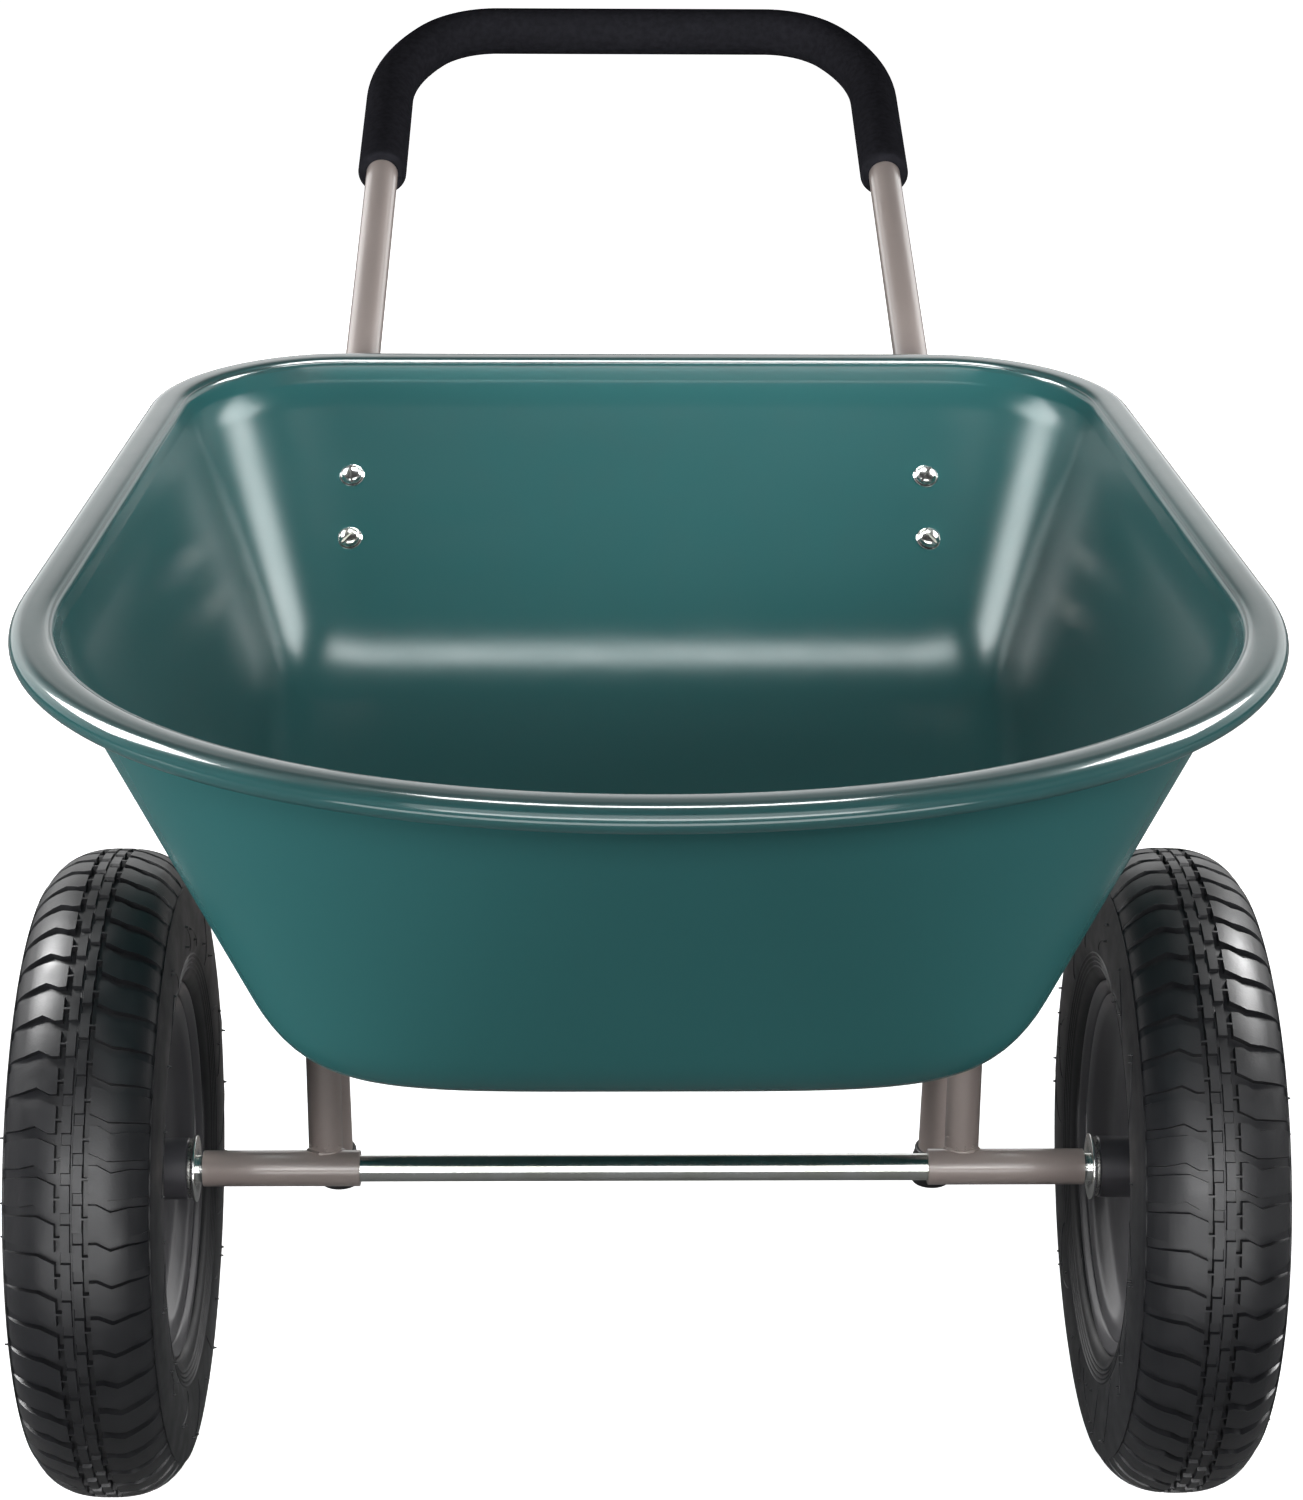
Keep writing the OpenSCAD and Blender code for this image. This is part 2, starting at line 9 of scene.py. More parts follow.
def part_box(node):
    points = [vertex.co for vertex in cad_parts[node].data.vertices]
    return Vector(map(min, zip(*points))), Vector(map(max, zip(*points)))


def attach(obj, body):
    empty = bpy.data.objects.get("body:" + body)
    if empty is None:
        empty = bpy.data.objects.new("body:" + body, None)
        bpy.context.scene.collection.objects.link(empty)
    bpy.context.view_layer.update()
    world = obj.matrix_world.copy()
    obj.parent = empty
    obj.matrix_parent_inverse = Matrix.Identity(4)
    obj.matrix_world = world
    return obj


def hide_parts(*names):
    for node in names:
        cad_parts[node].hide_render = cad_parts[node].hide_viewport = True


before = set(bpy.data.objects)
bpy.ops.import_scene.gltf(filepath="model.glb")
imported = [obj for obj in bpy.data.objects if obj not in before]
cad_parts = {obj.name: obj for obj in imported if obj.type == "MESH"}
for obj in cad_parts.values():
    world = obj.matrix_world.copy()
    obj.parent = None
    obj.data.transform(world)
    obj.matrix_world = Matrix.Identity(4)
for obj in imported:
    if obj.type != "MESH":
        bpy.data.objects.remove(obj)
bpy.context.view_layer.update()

MM = 0.001
axle_lo, axle_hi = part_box("axle_rod")
AXLE_Y = (axle_lo[1] + axle_hi[1]) / 2 / MM
AXLE_Z = (axle_lo[2] + axle_hi[2]) / 2 / MM
TAU = 2 * math.pi


# ---------------------------------------------------------------- camera

CAMERA_AT = (-0.0282, -1.8915, 1.0068)
CAMERA_PITCH, CAMERA_YAW, CAMERA_ROLL = 20.0, 1.10, 0.37


def make_camera():
    """Looks at the nose from a little above, with the object filling the frame."""
    pitch, yaw, roll = (math.radians(a) for a in (CAMERA_PITCH, CAMERA_YAW, CAMERA_ROLL))
    ahead = Vector((math.sin(yaw) * math.cos(pitch), math.cos(yaw) * math.cos(pitch), -math.sin(pitch)))
    right = Vector((math.cos(yaw), -math.sin(yaw), 0))
    up = right.cross(ahead)
    x = right * math.cos(roll) + up * math.sin(roll)
    y = (-ahead).cross(x)
    data = bpy.data.cameras.new("camera")
    data.lens = 76.8
    data.sensor_width = 36
    data.sensor_fit = "AUTO"
    cam = bpy.data.objects.new("camera", data)
    m = Matrix((x, y, -ahead)).transposed().to_4x4()
    m.translation = CAMERA_AT
    cam.matrix_world = m
    bpy.context.collection.objects.link(cam)
    bpy.context.scene.camera = cam


make_camera()


# ------------------------------------------------------------- materials

class Nodes:
    """A node material with a Principled shader, built up by small steps."""

    def __init__(self, name, base, roughness, metallic=0.0, **sockets):
        self.mat = bpy.data.materials.new(name)
        self.mat.use_nodes = True
        self.tree = self.mat.node_tree
        self.bsdf = self.tree.nodes["Principled BSDF"]
        self.base = base
        self.set("Base Color", (*base, 1))
        self.set("Roughness", roughness)
        self.set("Metallic", metallic)
        self.mat.diffuse_color = (*base, 1)
        for key, value in sockets.items():
            self.set(key.replace("_", " "), value)
        self.coord = self.add("ShaderNodeTexCoord").outputs["Object"]

    def set(self, key, value):
        self.bsdf.inputs[key].default_value = value

    def add(self, kind, inputs=None, **props):
        node = self.tree.nodes.new(kind)
        for key, value in props.items():
            setattr(node, key, value)
        for key, value in (inputs or {}).items():
            if isinstance(value, bpy.types.NodeSocket):
                self.tree.links.new(value, node.inputs[key])
            else:
                node.inputs[key].default_value = value
        return node

    def link(self, out, key):
        self.tree.links.new(out, self.bsdf.inputs[key])

    def noise(self, scale, detail=3.0, rough=0.5, stretch=None):
        at = self.coord
        if stretch:
            at = self.add("ShaderNodeMapping", {"Vector": at, "Scale": stretch}).outputs[0]
        return self.add("ShaderNodeTexNoise",
                        {"Vector": at, "Scale": scale, "Detail": detail, "Roughness": rough}).outputs[0]

    def ramp(self, value, low, high, out_low, out_high):
        return self.add("ShaderNodeMapRange", {"Value": value, "From Min": low, "From Max": high,
                                               "To Min": out_low, "To Max": out_high}).outputs[0]

    def mix(self, factor, a, b):
        node = self.add("ShaderNodeMix", data_type="RGBA")
        for key, value in ((0, factor), (6, a), (7, b)):
            if isinstance(value, bpy.types.NodeSocket):
                self.tree.links.new(value, node.inputs[key])
            else:
                node.inputs[key].default_value = value if key == 0 else (*value, 1)
        return node.outputs[2]

    def bump(self, height, distance, strength=1.0, before=None):
        node = self.add("ShaderNodeBump", {"Height": height, "Distance": distance, "Strength": strength})
        if before:
            self.tree.links.new(before, node.inputs["Normal"])
        return node.outputs[0]


def shade(c, k):
    """The colour c made k times as light."""
    return tuple(v * k for v in c)


def enamel(name, base, roughness, coat, coat_roughness, peel=0.00003, wear=0.05, level=0.5):
    """Sprayed enamel: slow changes of tone, faint orange peel (in metres) and dull smudges."""
    m = Nodes(name, base, roughness, Coat_Weight=coat, Coat_Roughness=coat_roughness,
              Coat_IOR=1.5, Specular_IOR_Level=level)
    slow = m.noise(5.0, 2.0)
    m.link(m.mix(m.ramp(slow, 0.35, 0.65, 0, 1), shade(base, 1 - wear), shade(base, 1 + wear)),
           "Base Color")
    smudge = m.noise(38.0, 4.0, 0.6)
    m.link(m.ramp(smudge, 0.3, 0.7, roughness * 0.92, roughness * 1.1), "Roughness")
    m.link(m.bump(m.noise(420.0, 2.0), peel), "Normal")
    return m


def rubber(name, base, roughness, grain=900.0, depth=0.00006, dust=0.25):
    """Moulded rubber: fine grain, with a little pale dust in patches."""
    m = Nodes(name, base, roughness, Specular_IOR_Level=0.45)
    patch = m.noise(14.0, 5.0, 0.65)
    pale = tuple(v + 0.03 for v in base)
    m.link(m.mix(m.ramp(patch, 0.45, 0.75, 0, dust), base, pale), "Base Color")
    m.link(m.ramp(m.noise(60.0, 3.0), 0.3, 0.7, roughness * 0.85, roughness * 1.15), "Roughness")
    m.link(m.bump(m.noise(grain, 3.0), depth), "Normal")
    return m


def foam(name, base):
    """Closed-cell foam: pinprick cells and a soft, dull face."""
    m = Nodes(name, base, 0.9, Specular_IOR_Level=0.0)
    cells = m.add("ShaderNodeTexVoronoi", {"Vector": m.coord, "Scale": 850.0}).outputs["Distance"]
    m.link(m.mix(m.ramp(m.noise(240.0, 3.0), 0.35, 0.65, 0, 1), shade(base, 0.85), shade(base, 1.15)),
           "Base Color")
    m.link(m.bump(cells, 0.00025, 0.6, m.bump(m.noise(60.0, 2.0), 0.0004)), "Normal")
    return m


def plated(name, base, roughness, streak=(1, 1, 1), tint=(0.80, 0.80, 0.72)):
    """Bright zinc plate: cloudy tone, faint yellow tint and fine drawing marks."""
    m = Nodes(name, base, roughness, metallic=1.0)
    cloud = m.noise(55.0, 4.0, 0.6)
    m.link(m.mix(m.ramp(cloud, 0.4, 0.7, 0, 0.8), base, tuple(a * b for a, b in zip(base, tint))),
           "Base Color")
    fine = m.noise(900.0, 3.0, 0.6, stretch=streak)
    m.link(m.ramp(fine, 0.3, 0.7, roughness * 0.7, roughness * 1.4), "Roughness")
    m.link(m.bump(fine, 0.00002), "Normal")
    return m


GREEN = (0.026, 0.114, 0.116)
TAUPE = (0.385, 0.322, 0.297)
tray_paint = enamel("tray_enamel", GREEN, 0.24, 0.0, 0.30, peel=0.00001, wear=0.02, level=0.15)
# The rim's green is the tray's green at 0.8 of its lightness: painted shade on what is the same paint.
rim_paint_with_painted_shade = enamel("rim_enamel_with_painted_shade", shade(GREEN, 0.8), 0.36, 1.0, 0.10, peel=0.00001, level=0.12)
frame_paint = enamel("frame_enamel", TAUPE, 0.34, 0.6, 0.16, wear=0.08)
wheel_paint = enamel("wheel_enamel", (0.060, 0.058, 0.065), 0.34, 0.4, 0.14, wear=0.1)
zinc = plated("bright_zinc", (0.78, 0.79, 0.78), 0.17)
axle_zinc = plated("drawn_zinc", (0.74, 0.76, 0.74), 0.16, streak=(3, 0.3, 0.3))
steel = plated("bearing_steel", (0.60, 0.60, 0.58), 0.28)
tyre_rubber = rubber("tyre_rubber", (0.0085, 0.0088, 0.0105), 0.40)
plain_rubber = rubber("valve_rubber", (0.015, 0.015, 0.016), 0.5, dust=0.1)
foot_plastic = rubber("foot_plastic", (0.016, 0.016, 0.017), 0.5, grain=500.0, dust=0.15)
grip_foam = foam("grip_foam", (0.0165, 0.0165, 0.0200))


# --------------------------------------------------------------- meshing

def at_axle(points):
    """Millimetres measured from the axle's Y, to metres in the object's frame."""
    p = np.array(points, float)
    p[:, 1] += AXLE_Y
    return p * MM


def outward(mesh):
    """Turns every face of each closed form to look outwards."""
    work = bmesh.new()
    work.from_mesh(mesh)
    bmesh.ops.recalc_face_normals(work, faces=work.faces)
    work.to_mesh(mesh)
    work.free()
    mesh.update()


def make(name, points, faces, mats, body, replaced=(), face_mats=None, sharp=35):
    """One smooth-shaded piece that rides on a body and stands for the replaced nodes."""
    mesh = bpy.data.meshes.new(name)
    mesh.from_pydata([tuple(p) for p in at_axle(points)], [], [tuple(int(i) for i in f) for f in faces])
    for m in mats:
        mesh.materials.append(m.mat)
    if face_mats is not None:
        mesh.polygons.foreach_set("material_index", np.array(face_mats, np.int32))
    mesh.polygons.foreach_set("use_smooth", [True] * len(mesh.polygons))
    mesh.validate()
    outward(mesh)
    mesh.set_sharp_from_angle(angle=math.radians(sharp))
    ob = bpy.data.objects.new(name, mesh)
    bpy.context.collection.objects.link(ob)
    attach(ob, body)
    if replaced:
        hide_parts(*replaced)
    return ob


def ring_faces(rings, n, closed=False, flip=False, start=0):
    """Quads between stacked rings of n points."""
    out = []
    last = rings if closed else rings - 1
    for k in range(last):
        a, b = start + k * n, start + ((k + 1) % rings) * n
        for i in range(n):
            j = (i + 1) % n
            quad = (a + i, a + j, b + j, b + i)
            out.append(quad[::-1] if flip else quad)
    return out


class Shape:
    """Points and faces gathered from several closed forms."""

    def __init__(self):
        self.points, self.faces = [], []

    def add(self, points, faces):
        base = len(self.points)
        self.points.extend([tuple(map(float, p)) for p in points])
        self.faces.extend([tuple(int(i) + base for i in f) for f in faces])
        return self


def lathe(profile, centre, axis, n=64, closed=True):
    """Turns a profile of (radius, height) round an axis through centre."""
    w = np.array(axis, float) / np.linalg.norm(axis)
    ref = np.array([0, 0, 1.0]) if abs(w[2]) < 0.9 else np.array([0, 1.0, 0])
    u = np.cross(ref, w)
    u /= np.linalg.norm(u)
    v = np.cross(w, u)
    a = np.arange(n) * TAU / n
    spin = np.outer(np.cos(a), u) + np.outer(np.sin(a), v)
    points = np.vstack([np.array(centre) + spin * r + w * h for r, h in profile])
    faces = ring_faces(len(profile), n, closed=closed)
    if not closed:
        faces += [tuple(range(n))[::-1], tuple((len(profile) - 1) * n + i for i in range(n))]
    return points, faces


def unit(v):
    """The direction of v, one long."""
    return np.array(v, float) / np.linalg.norm(v)


def stations(path, radii, step=4.0):
    """[point, direction] along a run with its corners bent to the radii."""
    p = [np.array(q, float) for q in path]
    out = [(p[0], unit(p[1] - p[0]))]
    for i in range(1, len(p) - 1):
        a, b = unit(p[i] - p[i - 1]), unit(p[i + 1] - p[i])
        t = math.acos(max(-1, min(1, float(a @ b))))
        inward = unit(b - a * (a @ b))
        r = radii[i]
        centre = p[i] - a * r * math.tan(t / 2) + inward * r
        n = max(2, math.ceil(math.degrees(t) / step))
        for k in range(n + 1):
            c = t * k / n
            out.append((centre + (a * math.sin(c) - inward * math.cos(c)) * r,
                        a * math.cos(c) + inward * math.sin(c)))
    out.append((p[-1], unit(p[-1] - p[-2])))
    return out


def refine(line, longest):
    """Adds stations so that none is further than longest from the next, and drops repeats."""
    out = [line[0]]
    for q in line[1:]:
        gap = np.linalg.norm(q[0] - out[-1][0])
        if gap < 0.001:
            continue
        n = max(1, math.ceil(gap / longest))
        a = out[-1]
        out += [(a[0] + (q[0] - a[0]) * k / n, unit(a[1] + (q[1] - a[1]) * k / n)) for k in range(1, n)]
        out.append(q)
    return out


def swept(line, ref, radius, n=48):
    """Rings round a line of stations; radius may change along it."""
    a = np.arange(n) * TAU / n
    rings = []
    for k, (p, w) in enumerate(line):
        u = unit(np.cross(w, ref))
        v = np.cross(w, u)
        r = radius[k] if hasattr(radius, "__len__") else radius
        rings.append(p + (np.outer(np.cos(a), u) + np.outer(np.sin(a), v)) * r)
    return rings


def pipe(line, ref, outer, bore, n=48, round_ends=0.0):
    """Tube open at both ends, with its wall and end faces."""
    outside = swept(line, ref, outer, n)
    inside = swept(line, ref, bore, n)[::-1]
    if round_ends:
        steps = [(0.0, round_ends), (0.3 * round_ends, 0.3 * round_ends), (round_ends, 0.0)]

        def end(station, sign):
            p, w = station
            return [swept([(p + w * sign * back, w)], ref, outer - shrink, n)[0]
                    for back, shrink in steps]

        outside = end(line[0], 1) + outside[1:-1] + end(line[-1], -1)[::-1]
    rings = outside + inside
    return np.vstack(rings), ring_faces(len(rings), n, closed=True, flip=True)


# ------------------------------------------------------------------ tray

# Outline of the rim and of the floor, with Y measured from the axle: half width,
# taper, nose, end of the front curve, its exponent, rear edge, corner radius.
RIM = (305, -0.073, -294, -34, 2.04, 384, 93)
FLOOR = (190, 0.087, -208, -120, 5, 226, 50)
RIM_HALF, ROLL_HALF_H = 12.0, 7.0
SHEET = 1.2
FLOOR_SLOPE, FLOOR_AT_AXLE = 0.18, 352
RIM_SLOPE, RIM_AT_NOSE = 0.059, 503
# How far the fillet reaches over the floor, and where on the wall it ends.
FILLET, FILLET_TOP = 40, 0.80


def rim_z(y):
    """Height of the rim's centre line."""
    return RIM_AT_NOSE + RIM_SLOPE * (y - RIM[2])


def floor_z(y):
    """Height of the floor's upper face."""
    return FLOOR_AT_AXLE + FLOOR_SLOPE * y


def power(v, n):
    """A sine or cosine raised so that it draws a superellipse of exponent n."""
    return np.maximum(v, 0) ** (2 / n)


def outline(shape, o, front=44, side=12, corner=22, back=10):
    """Closed outline grown outwards by o; the same count for every shape."""
    w, taper, nose, front_y, n, rear, r = shape
    w, nose, rear, r = w + o, nose - o, rear + o, r + o
    run = front_y - nose
    a = np.linspace(0, math.pi / 2, front + 1)
    y = front_y - run * power(np.cos(a), n)
    right = [np.c_[(w + taper * y) * power(np.sin(a), n), y]]
    y = front_y + (rear - r - front_y) * np.arange(1, side) / side
    right.append(np.c_[w + taper * y, y])
    a = np.linspace(0, math.pi / 2, corner + 1)
    y = rear - r * (1 - np.sin(a))
    right.append(np.c_[w + taper * y - r * (1 - np.cos(a)), y])
    x_end = right[-1][-1, 0]
    x = x_end * (1 - np.arange(1, back + 1) / back)
    right.append(np.c_[x, np.full(back, rear)])
    half = np.vstack(right)
    left = half[-2:0:-1] * [-1, 1]
    return np.vstack([half, left])


def rim_ring(o, up):
    """The rim's outline, moved outwards by o."""
    q = outline(RIM, o)
    return np.c_[q, rim_z(q[:, 1]) + up]


def floor_ring(o, up):
    """The floor's outline, moved outwards by o."""
    q = outline(FLOOR, o)
    return np.c_[q, floor_z(q[:, 1]) + up]


def sheet_rings(o, drop, rim_off):
    """One face of the sheet from the middle of the floor to under the rim."""
    rim, corner = rim_ring(rim_off, -ROLL_HALF_H), floor_ring(o, -drop)
    base = floor_ring(o - FILLET, -drop)
    top = rim * (1 - FILLET_TOP) + corner * FILLET_TOP
    middle = np.array([0, 20, floor_z(20) - drop])
    rings = [middle + (base - middle) * k for k in (0.02, 0.35, 0.7, 0.9)]
    for u in np.linspace(1, 0, 15):
        rings.append(top * (1 - u) ** 2 + corner * 2 * u * (1 - u) + base * u * u)
    for v in np.linspace(FILLET_TOP, 0, 10)[1:]:
        rings.append(rim * (1 - v) + corner * v)
    return rings


# The rolled rim as (outwards, upwards) from its centre line: the sheet turns
# over a small bead, runs flat, and curls round under itself.
ROLL = [(-11.7, -4.6), (-11.35, -2.2), (-10.95, 0.4), (-10.5, 2.6), (-9.9, 4.2), (-9.1, 5.2),
        (-8.4, 5.45), (-7.95, 5.3), (-7.5, 5.5), (-6.8, 6.15), (-5.6, 6.6), (-3.6, 6.85),
        (-1.2, 6.98), (1.2, 7.0), (3.2, 6.95)]
ROLL_MIDDLE, ROLL_R = (4.6, 0.0), 7.0
ROLL += [(ROLL_MIDDLE[0] + ROLL_R * 1.05 * math.cos(math.radians(a)),
          ROLL_R * math.sin(math.radians(a))) for a in range(84, -151, -9)]


def offset_line(line, t):
    """The same line moved t to its right-hand side."""
    p = np.array(line)
    d = np.gradient(p, axis=0)
    d /= np.linalg.norm(d, axis=1)[:, None]
    return p + np.c_[d[:, 1], -d[:, 0]] * t


def make_tray():
    """Sheet and rolled rim in one closed form; the roll has its own gloss, and its green is the tray's
    made darker, which is painted shade.
    """
    inside = sheet_rings(0, 0, -RIM_HALF)
    outside = sheet_rings(SHEET * 1.1, SHEET, -RIM_HALF + SHEET * 1.2)[::-1]
    roll = [rim_ring(o, up) for o, up in ROLL]
    under = [rim_ring(o, up) for o, up in offset_line(ROLL, SHEET)[::-1][:-3]]
    rings = inside + roll + under + outside
    n = len(rings[0])
    faces = ring_faces(len(rings), n, flip=True)
    bead_foot = 3
    first_roll = len(inside) + bead_foot
    last_roll = len(inside) + len(roll) + len(under)
    mats = [1 if first_roll <= k < last_roll else 0 for k in range(len(rings) - 1) for _ in range(n)]
    faces += [tuple(range(n)), tuple((len(rings) - 1) * n + i for i in range(n))[::-1]]
    mats += [0, 0]
    make("tray_shell", np.vstack(rings), faces, [tray_paint, rim_paint_with_painted_shade], "barrow",
         ["tray"], mats, sharp=60)


make_tray()


# ----------------------------------------------------------------- frame

# The rails' and the handle's centre lines stand HALF_FRAME from the middle plane.
HALF_FRAME = 177.5
HANDLE_R, RAIL_R, WALL, HANDLE_WALL, FOAM_R = 11.1, 9.5, 1.5, 1.305, 17.0
FLOOR_ANGLE = math.atan(FLOOR_SLOPE)
TUBE_DROP = (SHEET + HANDLE_R) / math.cos(FLOOR_ANGLE)
RAIL_AT_AXLE = FLOOR_AT_AXLE - TUBE_DROP
BACK_TOP_Y = RIM[5] - RIM_HALF
BACK_SLOPE = (rim_z(BACK_TOP_Y) - ROLL_HALF_H - floor_z(FLOOR[5])) / (BACK_TOP_Y - FLOOR[5])
BACK_ANGLE = math.atan(BACK_SLOPE)
BACK_CLEAR = 1.9
FLOOR_BEND_Y = FLOOR[5] + ((BACK_CLEAR + HANDLE_R) / math.cos(BACK_ANGLE) - TUBE_DROP) / (
    BACK_SLOPE - FLOOR_SLOPE)
RIM_BEND_Y, HANDLE_ANGLE, BAR_Y = 367.0, math.radians(18.9), 879.0
LOOP_WIDE_R, LOOP_WIDE_A, LOOP_TIGHT_R = 150.0, 35.0, 60.0
GRIP_END_Y, SOCKET_Y, RAIL_END_Y = 668.0, 128.0, 195.0
LEG_X = HALF_FRAME + HANDLE_R + RAIL_R + 0.1
LEG_FRONT_Y, LEG_BEND_Y, FOOT_Y = 128.0, 262.0, 324.0
SLEEVE_IN, SLEEVE_OUT, SLEEVE_R = 158.0, 245.0, 10.0
AXLE_R = 7.5


def rail_z(y):
    """Height of the rails' centre line, under the floor."""
    return RAIL_AT_AXLE + FLOOR_SLOPE * y


FLOOR_BEND_Z = rail_z(FLOOR_BEND_Y)
RIM_BEND_Z = FLOOR_BEND_Z + (RIM_BEND_Y - FLOOR_BEND_Y) * BACK_SLOPE
BAR_Z = RIM_BEND_Z + (BAR_Y - RIM_BEND_Y) * math.tan(HANDLE_ANGLE)
# The loop turns by a wide bend, then a tight one, 90 degrees in all.
LOOP_TIGHT_A = 90 - LOOP_WIDE_A
LOOP_LEAN = (LOOP_WIDE_R * math.tan(math.radians(LOOP_WIDE_A / 2))
             + LOOP_TIGHT_R * math.tan(math.radians(LOOP_TIGHT_A / 2)))
LOOP_BACK = LOOP_LEAN * math.cos(math.radians(LOOP_WIDE_A))
LOOP_CORNER = (HALF_FRAME, BAR_Y - LOOP_BACK * math.cos(HANDLE_ANGLE),
               BAR_Z - LOOP_BACK * math.sin(HANDLE_ANGLE))
BAR_CORNER = (HALF_FRAME - LOOP_LEAN * math.sin(math.radians(LOOP_WIDE_A)), BAR_Y, BAR_Z)
LOOP_NORMAL = np.array([0, -math.sin(HANDLE_ANGLE), math.cos(HANDLE_ANGLE)])
HANDLE_RUN = [(HALF_FRAME, SOCKET_Y, rail_z(SOCKET_Y)), (HALF_FRAME, FLOOR_BEND_Y, FLOOR_BEND_Z),
              (HALF_FRAME, RIM_BEND_Y, RIM_BEND_Z), LOOP_CORNER, BAR_CORNER]
HANDLE_BENDS = [0, 100, 100, LOOP_WIDE_R, LOOP_TIGHT_R]
GRIP_RUN = [(HALF_FRAME, GRIP_END_Y, RIM_BEND_Z + (GRIP_END_Y - RIM_BEND_Y) * math.tan(HANDLE_ANGLE)),
            LOOP_CORNER, BAR_CORNER]
GRIP_BENDS = [0, LOOP_WIDE_R, LOOP_TIGHT_R]
STRUT_Y, STRUT_BEND_R, LEG_BEND_R = 7.3, 64, 50
RAIL_RUN = [(HALF_FRAME, STRUT_Y, AXLE_Z), (HALF_FRAME, STRUT_Y, rail_z(STRUT_Y)),
            (HALF_FRAME, RAIL_END_Y, rail_z(RAIL_END_Y))]
LEG_CORNER = np.array([LEG_X, LEG_BEND_Y, rail_z(LEG_BEND_Y)])
FOOT_POINT = np.array([LEG_X, FOOT_Y, 0.0])
LEG_AXIS = unit(FOOT_POINT - LEG_CORNER)
LEG_RUN = [(LEG_X, LEG_FRONT_Y, rail_z(LEG_FRONT_Y)), LEG_CORNER, FOOT_POINT - LEG_AXIS * 6]


def loop_run(run):
    """A run on the right side, carried on by its mirror image."""
    return run + [(-x, y, z) for x, y, z in run[::-1]]


def sided(points, side):
    """Points made for the right side, mirrored for the left one."""
    p = np.array(points, float)
    p[:, 0] *= side
    return p


def sided_faces(faces, side):
    """Faces made for the right side, turned round for the left one."""
    return faces if side > 0 else [f[::-1] for f in faces]


def make_handle():
    """The handle's one tube, and the foam sleeve on its loop."""
    bends = HANDLE_BENDS + HANDLE_BENDS[::-1]
    path = refine(stations(loop_run(HANDLE_RUN), bends), 40)
    points, faces = pipe(path, LOOP_NORMAL, HANDLE_R, HANDLE_R - HANDLE_WALL, round_ends=0.4)
    make("handle_loop", points, faces, [frame_paint], "barrow", ["handle_tube"])

    path = refine(stations(loop_run(GRIP_RUN), GRIP_BENDS + GRIP_BENDS[::-1], 3.0), 12)
    points, faces = pipe(path, LOOP_NORMAL, FOAM_R, HANDLE_R + 0.1, n=56, round_ends=2.2)
    grip = make("foam_sleeve", points, faces, [grip_foam], "barrow", ["foam_grip"], sharp=50)


def make_frame_piece(name, points, faces, side, replaced):
    """A painted piece of the frame, mirrored to its side."""
    make(name, sided(points, side), sided_faces(faces, side), [frame_paint], "barrow",
         [replaced])


def make_rail(name, side):
    """Strut and rail in one tube, its foot cut to sit on the sleeve."""
    line = refine(stations(RAIL_RUN, [0, STRUT_BEND_R, 0], 3.0), 15)
    points, faces = pipe(line, (1, 0, 0), RAIL_R, RAIL_R - WALL)
    sleeve_top = AXLE_Z + np.sqrt(np.maximum(SLEEVE_R ** 2 - points[:, 1] ** 2, 0)) - 0.3
    points[:, 2] = np.maximum(points[:, 2], sleeve_top)
    make_frame_piece(name + "_rail", points, faces, side, name + "_side_rail")


def make_sleeve(name, side):
    """Short tube over the axle, with its end corners eased."""
    length, bore, edge = SLEEVE_OUT - SLEEVE_IN, AXLE_R + 0.2, 0.5
    soft = edge * 0.3
    rings = [(bore, 0), (SLEEVE_R - edge, 0), (SLEEVE_R - soft, soft), (SLEEVE_R, edge),
             (SLEEVE_R, length - edge), (SLEEVE_R - soft, length - soft), (SLEEVE_R - edge, length),
             (bore, length)]
    points, faces = lathe(rings, (SLEEVE_IN, 0, AXLE_Z), (1, 0, 0), 64)
    make_frame_piece(name + "_sleeve", points, faces, side, name + "_axle_sleeve")


def make_leg(name, side):
    """Bent leg beside the handle tube, down into its foot."""
    line = refine(stations(LEG_RUN, [0, LEG_BEND_R, 0], 4.0), 20)
    points, faces = pipe(line, (1, 0, 0), RAIL_R, RAIL_R - WALL, round_ends=0.4)
    make_frame_piece(name + "_stand", points, faces, side, name + "_leg")


def make_frame():
    """Handle, grip, and each side's rail, sleeve, leg, foot and weld."""
    make_handle()
    for side, name in ((-1, "left"), (1, "right")):
        make_rail(name, side)
        make_sleeve(name, side)
        make_leg(name, side)
        make_foot(name, side)
        make_weld(name, side)


def make_foot(name, side):
    """Moulded cap pushed on the leg, its sole cut level with the ground."""
    r, n, height = 13.0, 48, 28
    steps = [(height, RAIL_R + 1.4), (27.6, RAIL_R + 2.0), (26.8, RAIL_R + 2.3), (25, RAIL_R + 2.3),
             (23, RAIL_R + 2.5), (21.5, r - 0.4), (20, r), (8, r), (0, r), (-6, r)]
    rings = [swept([(FOOT_POINT - LEG_AXIS * h, LEG_AXIS)], (1, 0, 0), radius, n)[0]
             for h, radius in steps]
    rings = [np.c_[g[:, 0], g[:, 1], np.maximum(g[:, 2], 0.0)] for g in rings]
    sole = rings[-2].copy()
    sole[:, 2] = 0.0
    middle = sole.mean(axis=0)
    outside = rings[:-2] + [sole + [0, 0, 1.2], sole + (middle - sole) * 0.06]
    inside = [swept([(FOOT_POINT - LEG_AXIS * h, LEG_AXIS)], (1, 0, 0), RAIL_R + 0.05, n)[0]
              for h in (6.2, height)]
    points = np.vstack(outside + inside)
    count = len(outside)
    faces = ring_faces(count, n)
    faces.append(tuple((count - 1) * n + i for i in range(n)))
    faces += ring_faces(2, n, start=count * n)
    faces.append(tuple(count * n + i for i in range(n))[::-1])
    faces += [(count * n + n + i, count * n + n + (i + 1) % n, (i + 1) % n, i) for i in range(n)]
    flipped = [f[::-1] for f in faces]
    make(name + "_foot_cap", sided(points, side), sided_faces(flipped, side), [foot_plastic],
         "barrow", [name + "_foot"], sharp=45)


